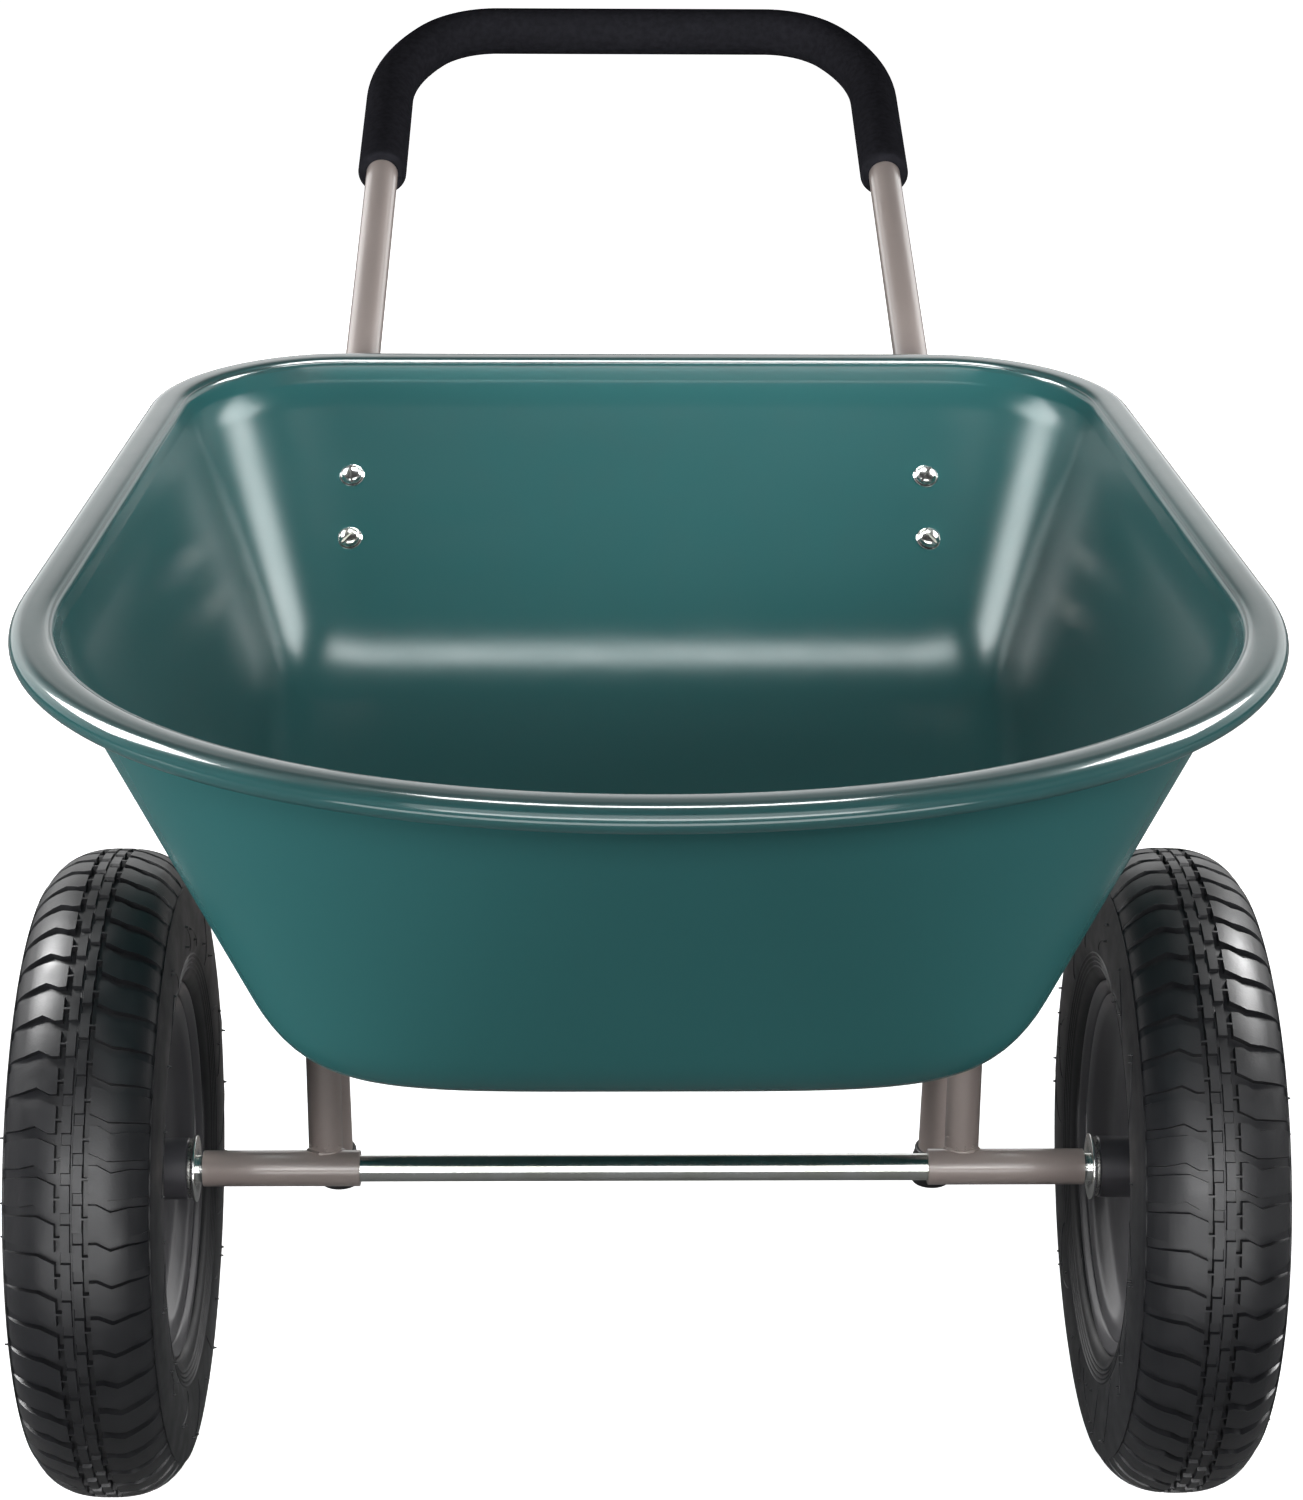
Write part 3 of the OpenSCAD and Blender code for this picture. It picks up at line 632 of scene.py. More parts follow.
def make_weld(name, side):
    """Uneven bead of weld over the sleeve, round the front of the strut."""
    n, m, ends, bead_r, knots = 90, 10, 2.15, 1.55, 26
    rng = np.random.default_rng(7 if side > 0 else 8)
    a = np.linspace(-ends, ends, n)
    lumps = np.interp(a, np.linspace(-ends, ends, knots), rng.uniform(0.55, 1.35, knots))
    lumps *= np.clip((ends - np.abs(a)) * 5, 0.15, 1)
    reach = RAIL_R - 0.3
    y = STRUT_Y - reach * np.cos(a)
    top = np.sqrt(np.maximum(SLEEVE_R ** 2 - y ** 2, 0))
    rings = []
    for k in range(m):
        c = TAU * k / m
        r = bead_r * lumps
        out = reach + r * np.cos(c)
        rings.append(np.c_[HALF_FRAME + out * np.sin(a), STRUT_Y - out * np.cos(a),
                           AXLE_Z + top + 0.1 + r * np.sin(c) * 0.8])
    spatter = Shape().add(np.vstack(rings), strip_faces(m, n))
    for _ in range(14):
        x, up, r = rng.normal(0, 6.5), rng.uniform(0, 1) ** 2 * 7, rng.uniform(0.35, 0.8)
        x = max(-8.4, min(8.4, x))
        at = (HALF_FRAME + x, STRUT_Y - math.sqrt(RAIL_R ** 2 - x * x) + 0.1, AXLE_Z + 11.2 + up)
        drop, drop_faces = lathe([(r * 0.3, -r * 0.9), (r, 0), (r * 0.8, r * 0.6), (r * 0.25, r * 0.95)],
                                 at, (0, -1, 0.3), 10, closed=False)
        spatter.add(drop, drop_faces)
    make(name + "_weld", sided(spatter.points, side), sided_faces(spatter.faces, side), [frame_paint],
         "barrow", sharp=70)


def strip_faces(m, n):
    """Quads of an open tube: m lines of n points each, closed across the lines."""
    out = [(k * n + i, k * n + i + 1, (k + 1) % m * n + i + 1, (k + 1) % m * n + i)
           for k in range(m) for i in range(n - 1)]
    out.append(tuple(k * n for k in range(m)))
    out.append(tuple(k * n + n - 1 for k in range(m))[::-1])
    return out


make_frame()


# ---------------------------------------------------------------- wheels

HALF_TRACK, TYRE_R, TYRE_HALF_W, RIM_R = 290.0, 178.0, 40.0, 104.0
SEAT_R = RIM_R - 5.5
CROWN_MID, CROWN_N = 140.0, 2.5
PITCHES = 56
PITCH = TAU * TYRE_R / PITCHES
GROOVE, HALF_GROOVE, ARM_DEPTH, MID_LINE_DEPTH = 3.6, 3.2, 2.0, 1.5
TREAD_START_R, TREAD_END_X, FADE_FROM_X = CROWN_MID + 12, 36.55, 30
# Upper and lower edge of one side groove on the left half, as (x, height along the tread).
GROOVE_HIGH = [(-8.5, 3.2), (-12.5, 3.2), (-19.5, 7.2), (-28, 5.4), (-40, 5.6)]
GROOVE_LOW = [(-8.5, -3.2), (-17.5, 0.8), (-27, 0.5), (-40, -0.9)]
# Heights of the columns of vertices for the left half, over one pitch, in pairs that make
# a steep groove wall. The right half has the same ones half a pitch on.
EDGES = [2.7, 3.2, 9.1, 9.5, 10.5, 10.9, 16.8, 17.3]
# Where the upright bars lie on each half, from x to x, and half their height.
BARS, BAR_HALF, ARM_HALF = (5.4, 8.6), 9.3, 2.95


def tread_profile():
    """(x, r) across the tyre from the left bead to the right one, with the bead's rings."""
    def crown(x):
        drop = (1 - (abs(x) / TYRE_HALF_W) ** CROWN_N) ** (1 / CROWN_N)
        return CROWN_MID + (TYRE_R - CROWN_MID) * drop

    half = [(SEAT_R + 0.3, 20.0), (SEAT_R + 0.3, 27.0), (RIM_R + 0.3, 29.1), (RIM_R + 0.4, 31.3),
            (RIM_R + 1.6, 33.2), (RIM_R + 3.4, 34.6), (RIM_R + 5.4, 35.6)]
    for k in range(4):
        r = RIM_R + 6.6 + 2.5 * k
        x = 36.0 + 0.58 * k
        half += [(r, x), (r + 0.5, x + 0.75), (r + 1.1, x + 0.8), (r + 1.6, x + 0.25)]
    half += [(RIM_R + 17.5, 38.7), (RIM_R + 20, 39.2), (RIM_R + 24, 39.7), (RIM_R + 30, 40.0),
             (RIM_R + 36, 40.0), (RIM_R + 42, 39.75)]
    half += [(crown(38.9), 38.9), (crown(38.2), 38.2), (crown(37.7) + 0.9, 37.9),
             (crown(37.0) + 1.0, 37.2), (crown(36.6) - 0.1, 36.5)]
    tread = [35.2, 33.6, 31.0, 28.0, 27.0, 23.5, 19.5, 17.5, 15.0, 12.5, 10.5, BARS[1], BARS[1] - 0.45,
             BARS[0] + 0.45, BARS[0], 3.0, 0.75, 0.35]
    half += [(crown(x), x) for x in tread]
    left = [(-x, r) for r, x in half]
    right = [(x, r) for x, r in [(-p[0], p[1]) for p in left][::-1]]
    return np.array(left + right)


def groove_shift(x, u):
    """Bends the columns at base height u to the lateral groove's edges at x."""
    if abs(x) <= BARS[1]:
        return u
    high, low = (np.interp(abs(x), [-p[0] for p in edge], [p[1] for p in edge])
                 for edge in (GROOVE_HIGH, GROOVE_LOW))
    phase = 0.0
    if x >= 0:
        high, low, phase = -low, -high, PITCH / 2
    turns = np.floor((u - phase) / PITCH)
    v = u - phase - turns * PITCH
    bent = np.interp(v, [-HALF_GROOVE, HALF_GROOVE, PITCH - HALF_GROOVE, PITCH + HALF_GROOVE],
                     [low, high, PITCH + low, PITCH + high])
    return bent + phase + turns * PITCH


def groove_depth(x, u):
    """Depth of the tread pattern under the crown at x and base height u."""
    ax = abs(x)
    if ax > TREAD_END_X:
        return 0.0
    phase = 0.0 if x < 0 else PITCH / 2
    d = (u - phase + PITCH / 2) % PITCH - PITCH / 2
    in_arm = abs(d) < ARM_HALF
    if ax < 0.4:
        return MID_LINE_DEPTH
    if ax < BARS[0] + 0.1:
        return ARM_DEPTH if in_arm else 0.0
    if ax < BARS[1] - 0.4:
        return GROOVE if abs(d) < BAR_HALF else 0.0
    if ax < BARS[1] + 0.01:
        return GROOVE if in_arm else 0.0
    fade = 1.0 if ax < FADE_FROM_X else max(0.15, 1 - (ax - FADE_FROM_X) / 8)
    return GROOVE * fade if in_arm else 0.0


def tyre_columns():
    """Base heights of the columns over the whole turn, in millimetres."""
    one = sorted({round(v % PITCH, 3) for e in EDGES for v in (e, e + PITCH / 2)})
    keep = [one[0]]
    for v in one[1:]:
        if v - keep[-1] > 0.2:
            keep.append(v)
    return np.concatenate([np.array(keep) + PITCH * k for k in range(PITCHES)])


def make_tyre(name, side):
    """Tyre with its tread cut in: one ring of columns for each point of the section."""
    columns = tyre_columns()
    n = len(columns)
    rings = []
    for x, r in tread_profile():
        if r > TREAD_START_R:
            u = np.array([groove_shift(x, c) for c in columns]) if abs(x) > BARS[1] else columns
            depth = np.array([groove_depth(x, c) for c in columns])
        else:
            u, depth = columns, 0.0
        # Towards the shoulder the pattern is cut inwards more than down.
        lean = (abs(x) / TYRE_HALF_W) ** 3
        deep_r = r - depth * (1 - 0.5 * lean)
        deep_x = x - np.sign(x) * depth * 0.55 * lean
        a = u / TYRE_R
        rings.append(np.c_[np.full(n, deep_x), -deep_r * np.cos(a), deep_r * np.sin(a)])
    shape = Shape()
    shape.add(np.vstack(rings), ring_faces(len(rings), n, closed=True))
    add_sidewall_marks(shape, side)
    points = np.array(shape.points) + [side * HALF_TRACK, 0, AXLE_Z]
    make(name + "_tread_tyre", points, shape.faces, [tyre_rubber], name + "_wheel",
         [name + "_tyre"], sharp=38)


def wall_x(r):
    """Half width of the sidewall at radius r."""
    return float(np.interp(r, [104, 108, 111, 119, 122, 128, 134, 140, 146, 150, 156, 160, 164],
                           [31, 35, 36.2, 38.2, 39.0, 39.7, 40, 40, 39.75, 39.35, 38.3, 36.9, 35.2]))


def on_wall(face, r, a, lift):
    """The point at radius r and angle a on one sidewall, raised by lift."""
    return np.array([face * (wall_x(r) + lift), -r * math.cos(a), r * math.sin(a)])


def add_sidewall_marks(shape, side):
    """Mould vents on both sidewalls: fine curved ribs, and the stubs left on them."""
    rng = np.random.default_rng(11 + side)
    ribs, steps, n = 18, 9, 6
    for face in (-1, 1):
        for k in range(ribs):
            start = TAU * (k + rng.uniform(-0.3, 0.3)) / ribs
            sweep_a = rng.uniform(0.10, 0.30) * rng.choice([-1, 1])
            r0, r1 = rng.uniform(121, 124), rng.uniform(133, 153)
            line = [on_wall(face, r0 + (r1 - r0) * t, start + sweep_a * t ** 1.6, 0.02)
                    for t in np.linspace(0, 1, steps)]
            last = steps - 1
            path = [(line[i], unit(line[min(i + 1, last)] - line[max(i - 1, 0)])) for i in range(steps)]
            rings = swept(path, (1, 0, 0), [0.12] + [0.42] * (steps - 2) + [0.12], n)
            caps = [tuple(range(n))[::-1], tuple(last * n + i for i in range(n))]
            shape.add(np.vstack(rings), ring_faces(steps, n) + caps)
            spots = [(r1, start + sweep_a)]
            if rng.random() < 0.8:
                spots.append((rng.uniform(124, 150), start + rng.uniform(0.05, 0.3)))
            for r, a in spots:
                tall = rng.uniform(1.2, 2.4)
                stub = [(0.95, 0), (0.8, 0.5), (0.55, 0.8), (0.5, tall), (0.3, tall + 0.15)]
                shape.add(*lathe(stub, on_wall(face, r, a, -0.2), (face, 0, 0), 8, closed=False))


def ring_piece(name, profile, centre, axis, mat, body, replaced, n=128, sharp=40, closed=True):
    """A turned piece of one material."""
    points, faces = lathe(profile, centre, axis, n, closed)
    make(name, points, faces, [mat], body, replaced, sharp=sharp)


def rounded(line, r, steps=4):
    """Closed outline with its corners rounded to r, or less on short edges."""
    out = []
    count = len(line)
    for i in range(count):
        p, a, b = (np.array(line[k % count], float) for k in (i, i - 1, i + 1))
        la, lb = np.linalg.norm(a - p), np.linalg.norm(b - p)
        c = min(r, la * 0.45, lb * 0.45)
        start, end = p + (a - p) / la * c, p + (b - p) / lb * c
        for t in np.linspace(0, 1, steps):
            out.append(tuple(start * (1 - t) ** 2 + p * 2 * t * (1 - t) + end * t * t))
    return out


# Half sections as (radius, height from the wheel's middle): the rim band and one pressed disc.
BAND = [(SEAT_R - 6.5, 8), (SEAT_R, 13), (SEAT_R, 27), (RIM_R - 1.2, 28.6),
        (RIM_R + 0.1, 30.2), (RIM_R + 0.1, 31.2), (RIM_R - 1.2, 32.0), (RIM_R - 3.2, 31.3),
        (SEAT_R - 1.8, 28.4), (SEAT_R - 2, 13.6), (SEAT_R - 8.4, 8.8)]
HUB_R = 17.0
DISC = [(HUB_R, 12.0), (40, 11.9), (60, 12.2), (70, 12.9), (78, 14.4), (84, 17.2), (88.6, 21.2),
        (91.4, 24.3), (94, 25.6), (SEAT_R - 2, 26.2), (SEAT_R - 2, 28.2), (93.4, 27.6), (90.0, 26.0),
        (87.0, 22.6), (82.6, 18.8), (77, 16.3), (69, 14.8), (60, 14.2), (40, 13.9), (HUB_R, 14.0)]
HUB_HALF, HUB_BORE, FLANGE_END = 37.5, 14.0, 39.5


def make_wheel(name, side):
    """Tyre, rim band, two dished discs, hub, bearings and valve of one wheel."""
    body = name + "_wheel"
    centre = (side * HALF_TRACK, 0, AXLE_Z)
    out = (side, 0, 0)
    make_tyre(name, side)
    full = BAND + [(r, -h) for r, h in BAND[::-1]]
    ring_piece(name + "_rim", rounded(full[::-1], 1.2), centre, out, wheel_paint, body,
               [name + "_rim_band"], 160)
    for where, k in (("outer", side), ("inner", -side)):
        ring_piece(f"{name}_dish_{where}", rounded(DISC, 3.0, 5), centre, (k, 0, 0), wheel_paint, body,
                   [f"{name}_disc_{where}"], 128)
    hub = [(HUB_BORE, -HUB_HALF), (HUB_R - 0.8, -HUB_HALF), (HUB_R, 0.8 - HUB_HALF),
           (HUB_R, HUB_HALF - 0.8), (HUB_R - 0.8, HUB_HALF), (HUB_BORE, HUB_HALF)]
    ring_piece(name + "_hub_tube", hub, centre, out, wheel_paint, body, [name + "_hub"], 64)
    bore = AXLE_R + 0.05
    flange = [(bore, 25.5), (HUB_BORE, 25.5), (HUB_BORE, HUB_HALF), (16.0, HUB_HALF), (16.5, 38.0),
              (16.5, 39.0), (16.0, FLANGE_END), (13.0, FLANGE_END), (12.5, 38.9), (9.4, 38.9),
              (9.0, FLANGE_END), (bore, FLANGE_END)]
    for where, k in (("inner", -side), ("outer", side)):
        ring_piece(f"{name}_race_{where}", flange, centre, (k, 0, 0), steel, body,
                   [f"{name}_bearing_{where}"], 64)
    make_valve(name)


def node_middle(node):
    """The middle of a CAD node's box, in millimetres measured from the axle's Y."""
    lo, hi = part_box(node)
    middle = (np.array(lo) + np.array(hi)) / 2 / MM
    middle[1] -= AXLE_Y
    return middle


def make_valve(name):
    """Rubber stem and ribbed cap along the line between the two CAD nodes' middles."""
    stem_mid, cap_mid = node_middle(name + "_valve_stem"), node_middle(name + "_valve_cap")
    w = unit(cap_mid - stem_mid)
    foot = stem_mid - w * 19
    stem = [(0.5, 0), (5.4, 0.2), (5.6, 1.4), (4.3, 2.6), (4.0, 4), (4.0, 26), (3.7, 28.4), (2.7, 30.2),
            (2.6, 31), (2.6, 36), (0.5, 36)]
    points, faces = lathe(stem, foot, w, 40, closed=False)
    make(name + "_valve", points, faces, [plain_rubber], name + "_wheel",
         [name + "_valve_stem"])
    n = 48
    cap_foot = foot + w * 32
    rows = [(2.7, 0), (3.7, 0), (4.0, 0.4), (4.0, 5.6), (3.5, 7.0), (2.2, 7.9), (0.4, 8.1)]
    base, faces = lathe(rows, cap_foot, w, n, closed=False)
    for k, (r, h) in enumerate(rows):
        ribs = 0.22 if 1 <= k <= 3 else 0.0
        for i in range(n):
            q = base[k * n + i]
            centre = cap_foot + w * h
            q += (q - centre) / r * (ribs if i % 4 < 2 else 0)
    make(name + "_dust_cap", base, faces, [plain_rubber], name + "_wheel",
         [name + "_valve_cap"], sharp=30)


def repaint(node, material):
    """Gives a CAD node that keeps its shape a better material."""
    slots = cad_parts[node].data.materials
    slots.clear()
    slots.append(material.mat)


def make_wheels():
    for name, side in (("left", -1), ("right", 1)):
        make_wheel(name, side)
    for name in ("left", "right"):
        repaint(name + "_inner_tube", plain_rubber)


make_wheels()


# ------------------------------------------------------------- hardware

HEAD_R, SHANK_R, NUT_HEIGHT = 7.75, 3.9, 6.5
WALL_BOLT_Z, FLOOR_BOLT_Y, LEG_BOLT_Y = (457.0, 488.0), 72.1, (146.0, 182.0)
# How far each slot in the rear wall is turned, by side and by row from below.
SLOT_TURNS = {(-1, 1): 1.66, (-1, 0): 0.80, (1, 1): 1.02, (1, 0): 2.30}


def pan_head(length):
    """Pan-head bolt along +Z with its seat at 0."""
    shank = [(0.3, -length), (SHANK_R - 0.6, -length), (SHANK_R, -length + 0.7), (SHANK_R, -0.01)]
    side = [(HEAD_R - 0.35, 0), (HEAD_R, 0.3), (HEAD_R, 0.85), (HEAD_R - 0.4, 1.25),
            (HEAD_R - 1.15, 1.35), (HEAD_R - 1.3, 1.5), (HEAD_R - 1.4, 2.2), (HEAD_R - 1.75, 3.0),
            (HEAD_R - 2.4, 3.7)]
    dome = [(5.0, 3.95), (4.6, 4.15), (4.2, 4.3), (3.7, 4.45), (3.2, 4.57), (2.7, 4.67), (2.2, 4.75),
            (1.8, 4.8), (1.4, 4.84), (1.0, 4.87), (0.6, 4.89), (0.25, 4.9)]
    return lathe(shank + side + dome, (0, 0, 0), (0, 0, 1), 96, closed=False)


def place(points, at, angle_x, turn=0.0, tilt=0.0):
    """Turns a fastener about its own axis, tips it to the sheet and moves it."""
    c, s = math.cos(turn), math.sin(turn)
    p = np.array(points) @ np.array([[c, s, 0], [-s, c, 0], [0, 0, 1]])
    c, s = math.cos(tilt), math.sin(tilt)
    p = p @ np.array([[c, 0, -s], [0, 1, 0], [s, 0, c]])
    c, s = math.cos(angle_x), math.sin(angle_x)
    p = p @ np.array([[1, 0, 0], [0, c, s], [0, -s, c]])
    return p + np.array(at)


def slotted(name, bolts, length, mat, replaced):
    """Pan-head bolts in one piece, each with its screw slot at its own turn."""
    shape = Shape()
    knife = [(x, y, z) for x in (-9.0, 9.0) for y in (-0.8, 0.8) for z in (2.9, 6.5)]
    knife_faces = [(0, 1, 3, 2), (4, 6, 7, 5), (0, 4, 5, 1), (2, 3, 7, 6), (0, 2, 6, 4), (1, 5, 7, 3)]
    for at, angle, turn, tilt in bolts:
        points, faces = pan_head(length)
        points, faces = carved(points, faces, knife, knife_faces)
        shape.add(place(points, at, angle, turn, tilt), faces)
    make(name, shape.points, shape.faces, [mat], "barrow", replaced, sharp=28)


def carved(points, faces, knife, knife_faces):
    """The closed form less the knife's closed form."""
    pair = []
    for p, f in ((points, faces), (knife, knife_faces)):
        mesh = bpy.data.meshes.new("carve")
        mesh.from_pydata([tuple(q) for q in p], [], [tuple(int(v) for v in q) for q in f])
        outward(mesh)
        ob = bpy.data.objects.new("carve", mesh)
        bpy.context.collection.objects.link(ob)
        pair.append(ob)
    cut = pair[0].modifiers.new("slot", "BOOLEAN")
    cut.operation, cut.object, cut.solver = "DIFFERENCE", pair[1], "EXACT"
    shown = pair[0].evaluated_get(bpy.context.evaluated_depsgraph_get()).data
    out = [tuple(v.co) for v in shown.vertices], [tuple(q.vertices) for q in shown.polygons]
    for ob in pair:
        bpy.data.objects.remove(ob, do_unlink=True)
    return out


def hex_nut():
    """Chamfered hexagon nut along +Z from 0."""
    m, width, bore = 48, 13.0, 4.05
    a = np.arange(m) * TAU / m
    hexagon = (width / 2) / np.cos((a + TAU / 12) % (TAU / 6) - TAU / 12)
    flats = np.minimum(hexagon, width / 2 * 1.12)
    chamfer = np.minimum(hexagon, width / 2 * 1.06) * 0.95
    mouth, wall = np.full(m, bore + 0.5), np.full(m, bore)
    rows = [(mouth, 0), (chamfer, 0), (flats, 0.7), (flats, NUT_HEIGHT - 0.7), (chamfer, NUT_HEIGHT),
            (mouth, NUT_HEIGHT), (wall, NUT_HEIGHT - 0.5), (wall, 0.5)]
    rings = [np.c_[np.cos(a) * r, np.sin(a) * r, np.full(m, h)] for r, h in rows]
    return np.vstack(rings), ring_faces(len(rows), m, closed=True)


def wall_y(z):
    """Where the rear wall's front face is at height z."""
    return FLOOR[5] + (z - floor_z(FLOOR[5])) / BACK_SLOPE


def lifted(side, y, z, angle, lift):
    """A place on a rail's centre plane, raised square to a sheet that slopes by angle."""
    return (side * HALF_FRAME, y - math.sin(angle) * lift, z + math.cos(angle) * lift)


def laid(points, side):
    """Lays a fastener down, with its head outwards from its side."""
    return np.c_[points[:, 2] * side, points[:, 1], -points[:, 0] * side]


def make_nuts(name, places, replaced):
    """Nuts in one piece, each as (place, angle, turn); without an angle it is laid along X."""
    shape = Shape()
    for at, angle, turn in places:
        points, faces = hex_nut()
        if angle is None:
            side = 1 if at[0] > 0 else -1
            shape.add(laid(place(points, (0, 0, 0), 0, turn), side) + np.array(at), faces)
        else:
            shape.add(place(points, at, angle, turn), faces)
    make(name, shape.points, shape.faces, [zinc], "barrow", replaced, sharp=25)


def make_wall_bolts():
    """Two bolts a side through the rear wall and the handle tube."""
    heads, backs = [], []
    behind = -BACK_CLEAR - 2 * HANDLE_R - NUT_HEIGHT
    for side in (-1, 1):
        for k, z in enumerate(WALL_BOLT_Z):
            y = wall_y(z)
            heads.append((lifted(side, y, z, BACK_ANGLE, 0.25), BACK_ANGLE, SLOT_TURNS[side, k],
                          side * 0.10))
            backs.append((lifted(side, y, z, BACK_ANGLE, behind), BACK_ANGLE, 0.4 * k + side))
    slotted("wall_screws", heads, 33, zinc, ["rear_wall_bolts"])
    make_nuts("wall_screw_nuts", backs, ["rear_wall_nuts"])


def make_floor_bolts():
    """One bolt a side through the tray floor, a spacer and the rail."""
    heads, backs, pads = [], [], Shape()
    y, z = FLOOR_BOLT_Y, floor_z(FLOOR_BOLT_Y)
    under = -SHEET - HANDLE_R - RAIL_R - NUT_HEIGHT
    ring = rounded([(4.3, 0), (9, 0), (9, 1.6), (4.3, 1.6)], 0.4)
    for side in (-1, 1):
        heads.append((lifted(side, y, z, FLOOR_ANGLE, 2.3), FLOOR_ANGLE, 0.5 + side, side * -0.18))
        backs.append((lifted(side, y, z, FLOOR_ANGLE, under), FLOOR_ANGLE, side))
        points, faces = lathe(ring, (0, 0, 0), (0, 0, 1), 48)
        pads.add(place(points, lifted(side, y, z, FLOOR_ANGLE, -SHEET - 1.7), FLOOR_ANGLE), faces)
    slotted("floor_screws", heads, 33, zinc, ["floor_bolts"])
    make_nuts("floor_screw_nuts", backs, ["floor_nuts"])
    make("floor_pads", pads.points, pads.faces, [zinc], "barrow", ["floor_spacers"])


def make_leg_bolts():
    """Two bolts a side, laid across through the leg, handle tube and rail."""
    shape, backs = Shape(), []
    for side in (-1, 1):
        for k, y in enumerate(LEG_BOLT_Y):
            points, faces = pan_head(50)
            turned = place(points, (0, 0, 0), 0, 0.3 + k)
            shape.add(laid(turned, side) + np.array([side * (LEG_X + RAIL_R), y, rail_z(y)]), faces)
            backs.append(((side * (HALF_FRAME - HANDLE_R - NUT_HEIGHT), y, rail_z(y)), None, 0.5 * k))
    make("stand_bolts", shape.points, shape.faces, [zinc], "barrow", ["leg_bolts"])
    make_nuts("stand_bolt_nuts", backs, ["leg_nuts"])


def make_washers(name, start, replaced):
    """A pair of axle washers, each reaching 2 mm outwards from start."""
    shape = Shape()
    bore, r, thick = AXLE_R + 0.02, 18.5, 2.0
    ring = rounded([(bore, 0), (r, 0), (r, thick), (bore, thick)], 0.55)
    for side in (-1, 1):
        points, faces = lathe(ring, (start, 0, AXLE_Z), (1, 0, 0), 72)
        shape.add(sided(points, side), sided_faces(faces, side))
    make(name, shape.points, shape.faces, [zinc], "barrow", [replaced])


def make_axle():
    """Axle rod with chamfered ends, its washers, and the cotter pins' finish."""
    past_hub, chamfer, washer_gap = 12.5, 1.2, 0.3
    half = HALF_TRACK + FLANGE_END + past_hub
    rod = [(0.4, -half), (AXLE_R - chamfer, -half), (AXLE_R, -half + chamfer), (AXLE_R, half - chamfer),
           (AXLE_R - chamfer, half), (0.4, half)]
    ring_piece("axle_bar", rod, (0, 0, AXLE_Z), (1, 0, 0), axle_zinc, "barrow", ["axle_rod"],
               72, closed=False)
    reach = FLANGE_END + washer_gap
    make_washers("inner_thrust_washers", HALF_TRACK - reach - 2, "inner_washers")
    make_washers("outer_thrust_washers", HALF_TRACK + reach, "outer_washers")
    for name in ("left", "right"):
        repaint(name + "_cotter_pin", zinc)


make_wall_bolts()
make_floor_bolts()
make_leg_bolts()
make_axle()


# ---------------------------------------------------------------- studio

FLOOR_BOUNCE = (0.30, 0.30, 0.30)
FLOOR_HALF, FLOOR_GLOW = 30.0, 0.98
AMBIENT, GLOSS_FRONT, GLOSS_BACK = 0.10, 0.30, 1.5


def make_stage():
    """A white floor. It is shown nearly shadeless, and throws little light back."""
    mesh = bpy.data.meshes.new("floor")
    s = FLOOR_HALF
    mesh.from_pydata([(-s, -s, 0), (s, -s, 0), (s, s, 0), (-s, s, 0)], [], [(0, 1, 2, 3)])
    m = Nodes("floor_white", (0.90, 0.90, 0.90), 0.9, Specular_IOR_Level=0.0)
    m.set("Emission Color", (1, 1, 1, 1))
    m.set("Emission Strength", FLOOR_GLOW)
    dull = m.add("ShaderNodeBsdfDiffuse", {"Color": (*FLOOR_BOUNCE, 1)})
    pick = m.add("ShaderNodeMixShader", {0: m.add("ShaderNodeLightPath").outputs["Is Camera Ray"],
                                         1: dull.outputs[0], 2: m.bsdf.outputs[0]})
    m.tree.links.new(pick.outputs[0], m.tree.nodes["Material Output"].inputs["Surface"])
    mesh.materials.append(m.mat)
    ob = bpy.data.objects.new("floor", mesh)
    bpy.context.collection.objects.link(ob)


def area(name, at, to, size, power, diffuse=True, glossy=True, spread=math.pi):
    """A panel light aimed at a point; it may be left out of diffuse light or of reflections."""
    data = bpy.data.lights.new(name, "AREA")
    data.shape = "RECTANGLE"
    data.size, data.size_y = size
    data.energy = power
    data.spread = spread
    ob = bpy.data.objects.new(name, data)
    ob.location = at
    ob.rotation_euler = (Vector(to) - Vector(at)).to_track_quat("-Z", "Y").to_euler()
    bpy.context.collection.objects.link(ob)
    ob.visible_diffuse, ob.visible_glossy = diffuse, glossy
    ob.visible_camera = False


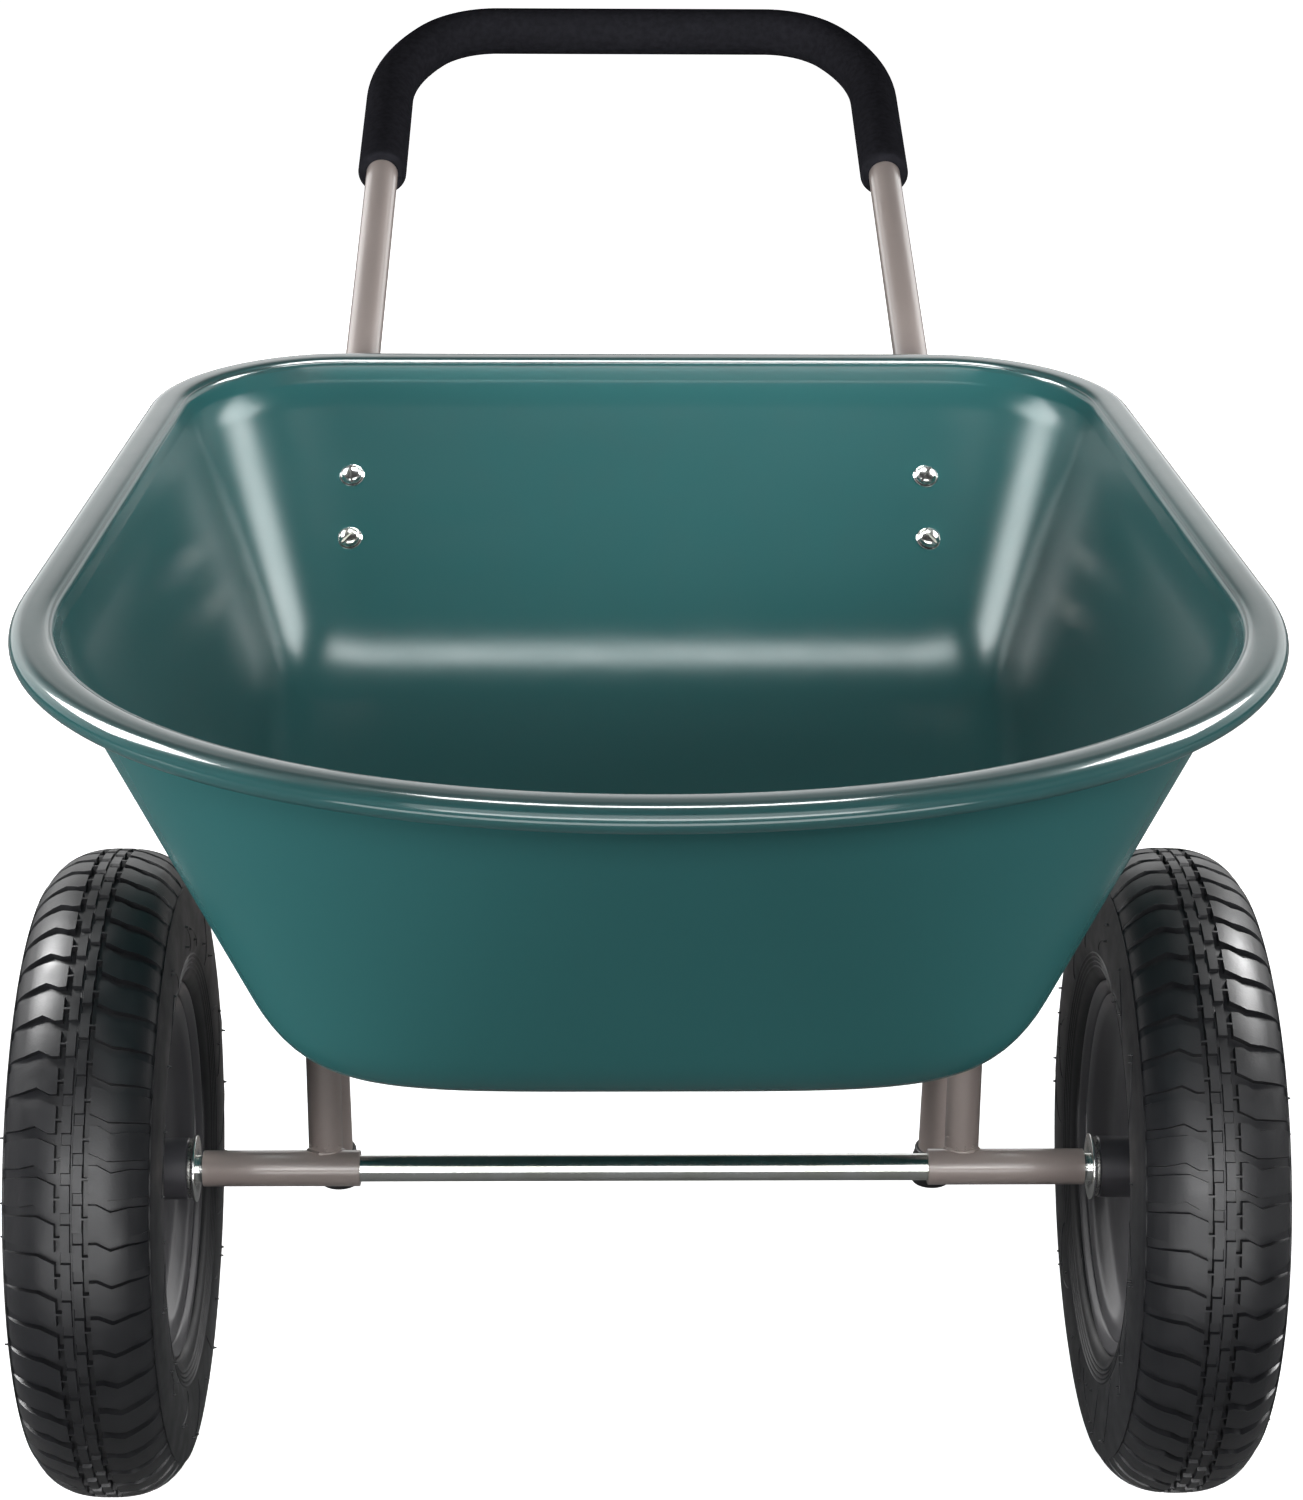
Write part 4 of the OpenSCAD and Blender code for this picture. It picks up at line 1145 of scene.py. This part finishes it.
def make_world():
    """Plain light all round. Reflections see a bright band low down behind, and a dim front."""
    world = bpy.data.worlds.new("studio")
    bpy.context.scene.world = world
    world.use_nodes = True
    tree = world.node_tree
    tree.nodes.clear()
    new, link = tree.nodes.new, tree.links.new
    geo, split = new("ShaderNodeTexCoord"), new("ShaderNodeSeparateXYZ")
    link(geo.outputs["Generated"], split.inputs[0])

    def graded(axis, low, high, out_low, out_high):
        node = new("ShaderNodeMapRange")
        ends = {"From Min": low, "From Max": high, "To Min": out_low, "To Max": out_high}
        for key, value in ends.items():
            node.inputs[key].default_value = value
        link(split.outputs[axis], node.inputs["Value"])
        return node.outputs[0]

    product = new("ShaderNodeMath")
    product.operation = "MULTIPLY"
    link(graded("Z", 0.36, 0.50, 1.0, 0.06), product.inputs[0])
    link(graded("Y", -0.1, 0.5, GLOSS_FRONT, GLOSS_BACK), product.inputs[1])
    path = new("ShaderNodeLightPath")
    soft, gloss, seen = (new("ShaderNodeBackground") for _ in range(3))
    soft.inputs["Strength"].default_value = AMBIENT
    link(product.outputs[0], gloss.inputs["Strength"])
    seen.inputs["Strength"].default_value = 1.0
    for node in (soft, gloss, seen):
        node.inputs["Color"].default_value = (1, 1, 1, 1)
    a, b, out = new("ShaderNodeMixShader"), new("ShaderNodeMixShader"), new("ShaderNodeOutputWorld")
    link(path.outputs["Is Glossy Ray"], a.inputs[0])
    link(soft.outputs[0], a.inputs[1])
    link(gloss.outputs[0], a.inputs[2])
    link(path.outputs["Is Camera Ray"], b.inputs[0])
    link(a.outputs[0], b.inputs[1])
    link(seen.outputs[0], b.inputs[2])
    link(b.outputs[0], out.inputs[0])


def make_lights():
    """Panels that light the surfaces, then panels that are only seen in the gloss."""
    middle = (0, 0, 0.45)
    area("inner_key", (0.16, -0.42, 0.64), (-0.15, 0.50, 0.80), (0.4, 0.16), 1.25, glossy=False,
         spread=1.7)
    for panel in (("front_high", (0.3, -2.6, 1.9), (0, 0.2, 0.45), (1.2, 0.8), 30),
                  ("front_fill", (1.2, -3.0, 1.2), middle, (1.4, 1.2), 12),
                  ("side_left", (-2.5, -1.0, 0.40), (0, -0.3, 0.35), (0.6, 0.8), 64),
                  ("side_right", (2.5, -0.8, 0.45), (0, -0.3, 0.35), (0.6, 0.8), 27),
                  ("back_left", (-1.6, 2.8, 1.0), (0, 0.3, 0.4), (1.2, 1.0), 42),
                  ("back_right", (1.9, 2.6, 0.7), (0, 0.3, 0.4), (1.2, 1.0), 26)):
        area(*panel, glossy=False)
    for panel in (("fold_strip", (0, 0.35, 3.2), (0, 0.1, 0.4), (1.3, 0.6), 72),
                  ("corner_right", (2.1, 0.5, 2.4), middle, (1.4, 1.3), 180),
                  ("corner_left", (-2.1, 0.5, 2.4), middle, (1.4, 1.3), 180),
                  ("front_strip", (0, -3.2, 1.3), (0, 0, 0.5), (3.0, 0.5), 40),
                  ("front_card", (0, -2.4, 1.5), (0, 0.3, 0.5), (2.6, 1.4), 28),
                  ("ground_strip", (0, -1.5, 0.02), (0, -0.7, 0.42), (2.2, 0.6), 20)):
        area(*panel, diffuse=False)


make_stage()
make_world()
make_lights()
bpy.context.scene.view_settings.view_transform = "Standard"
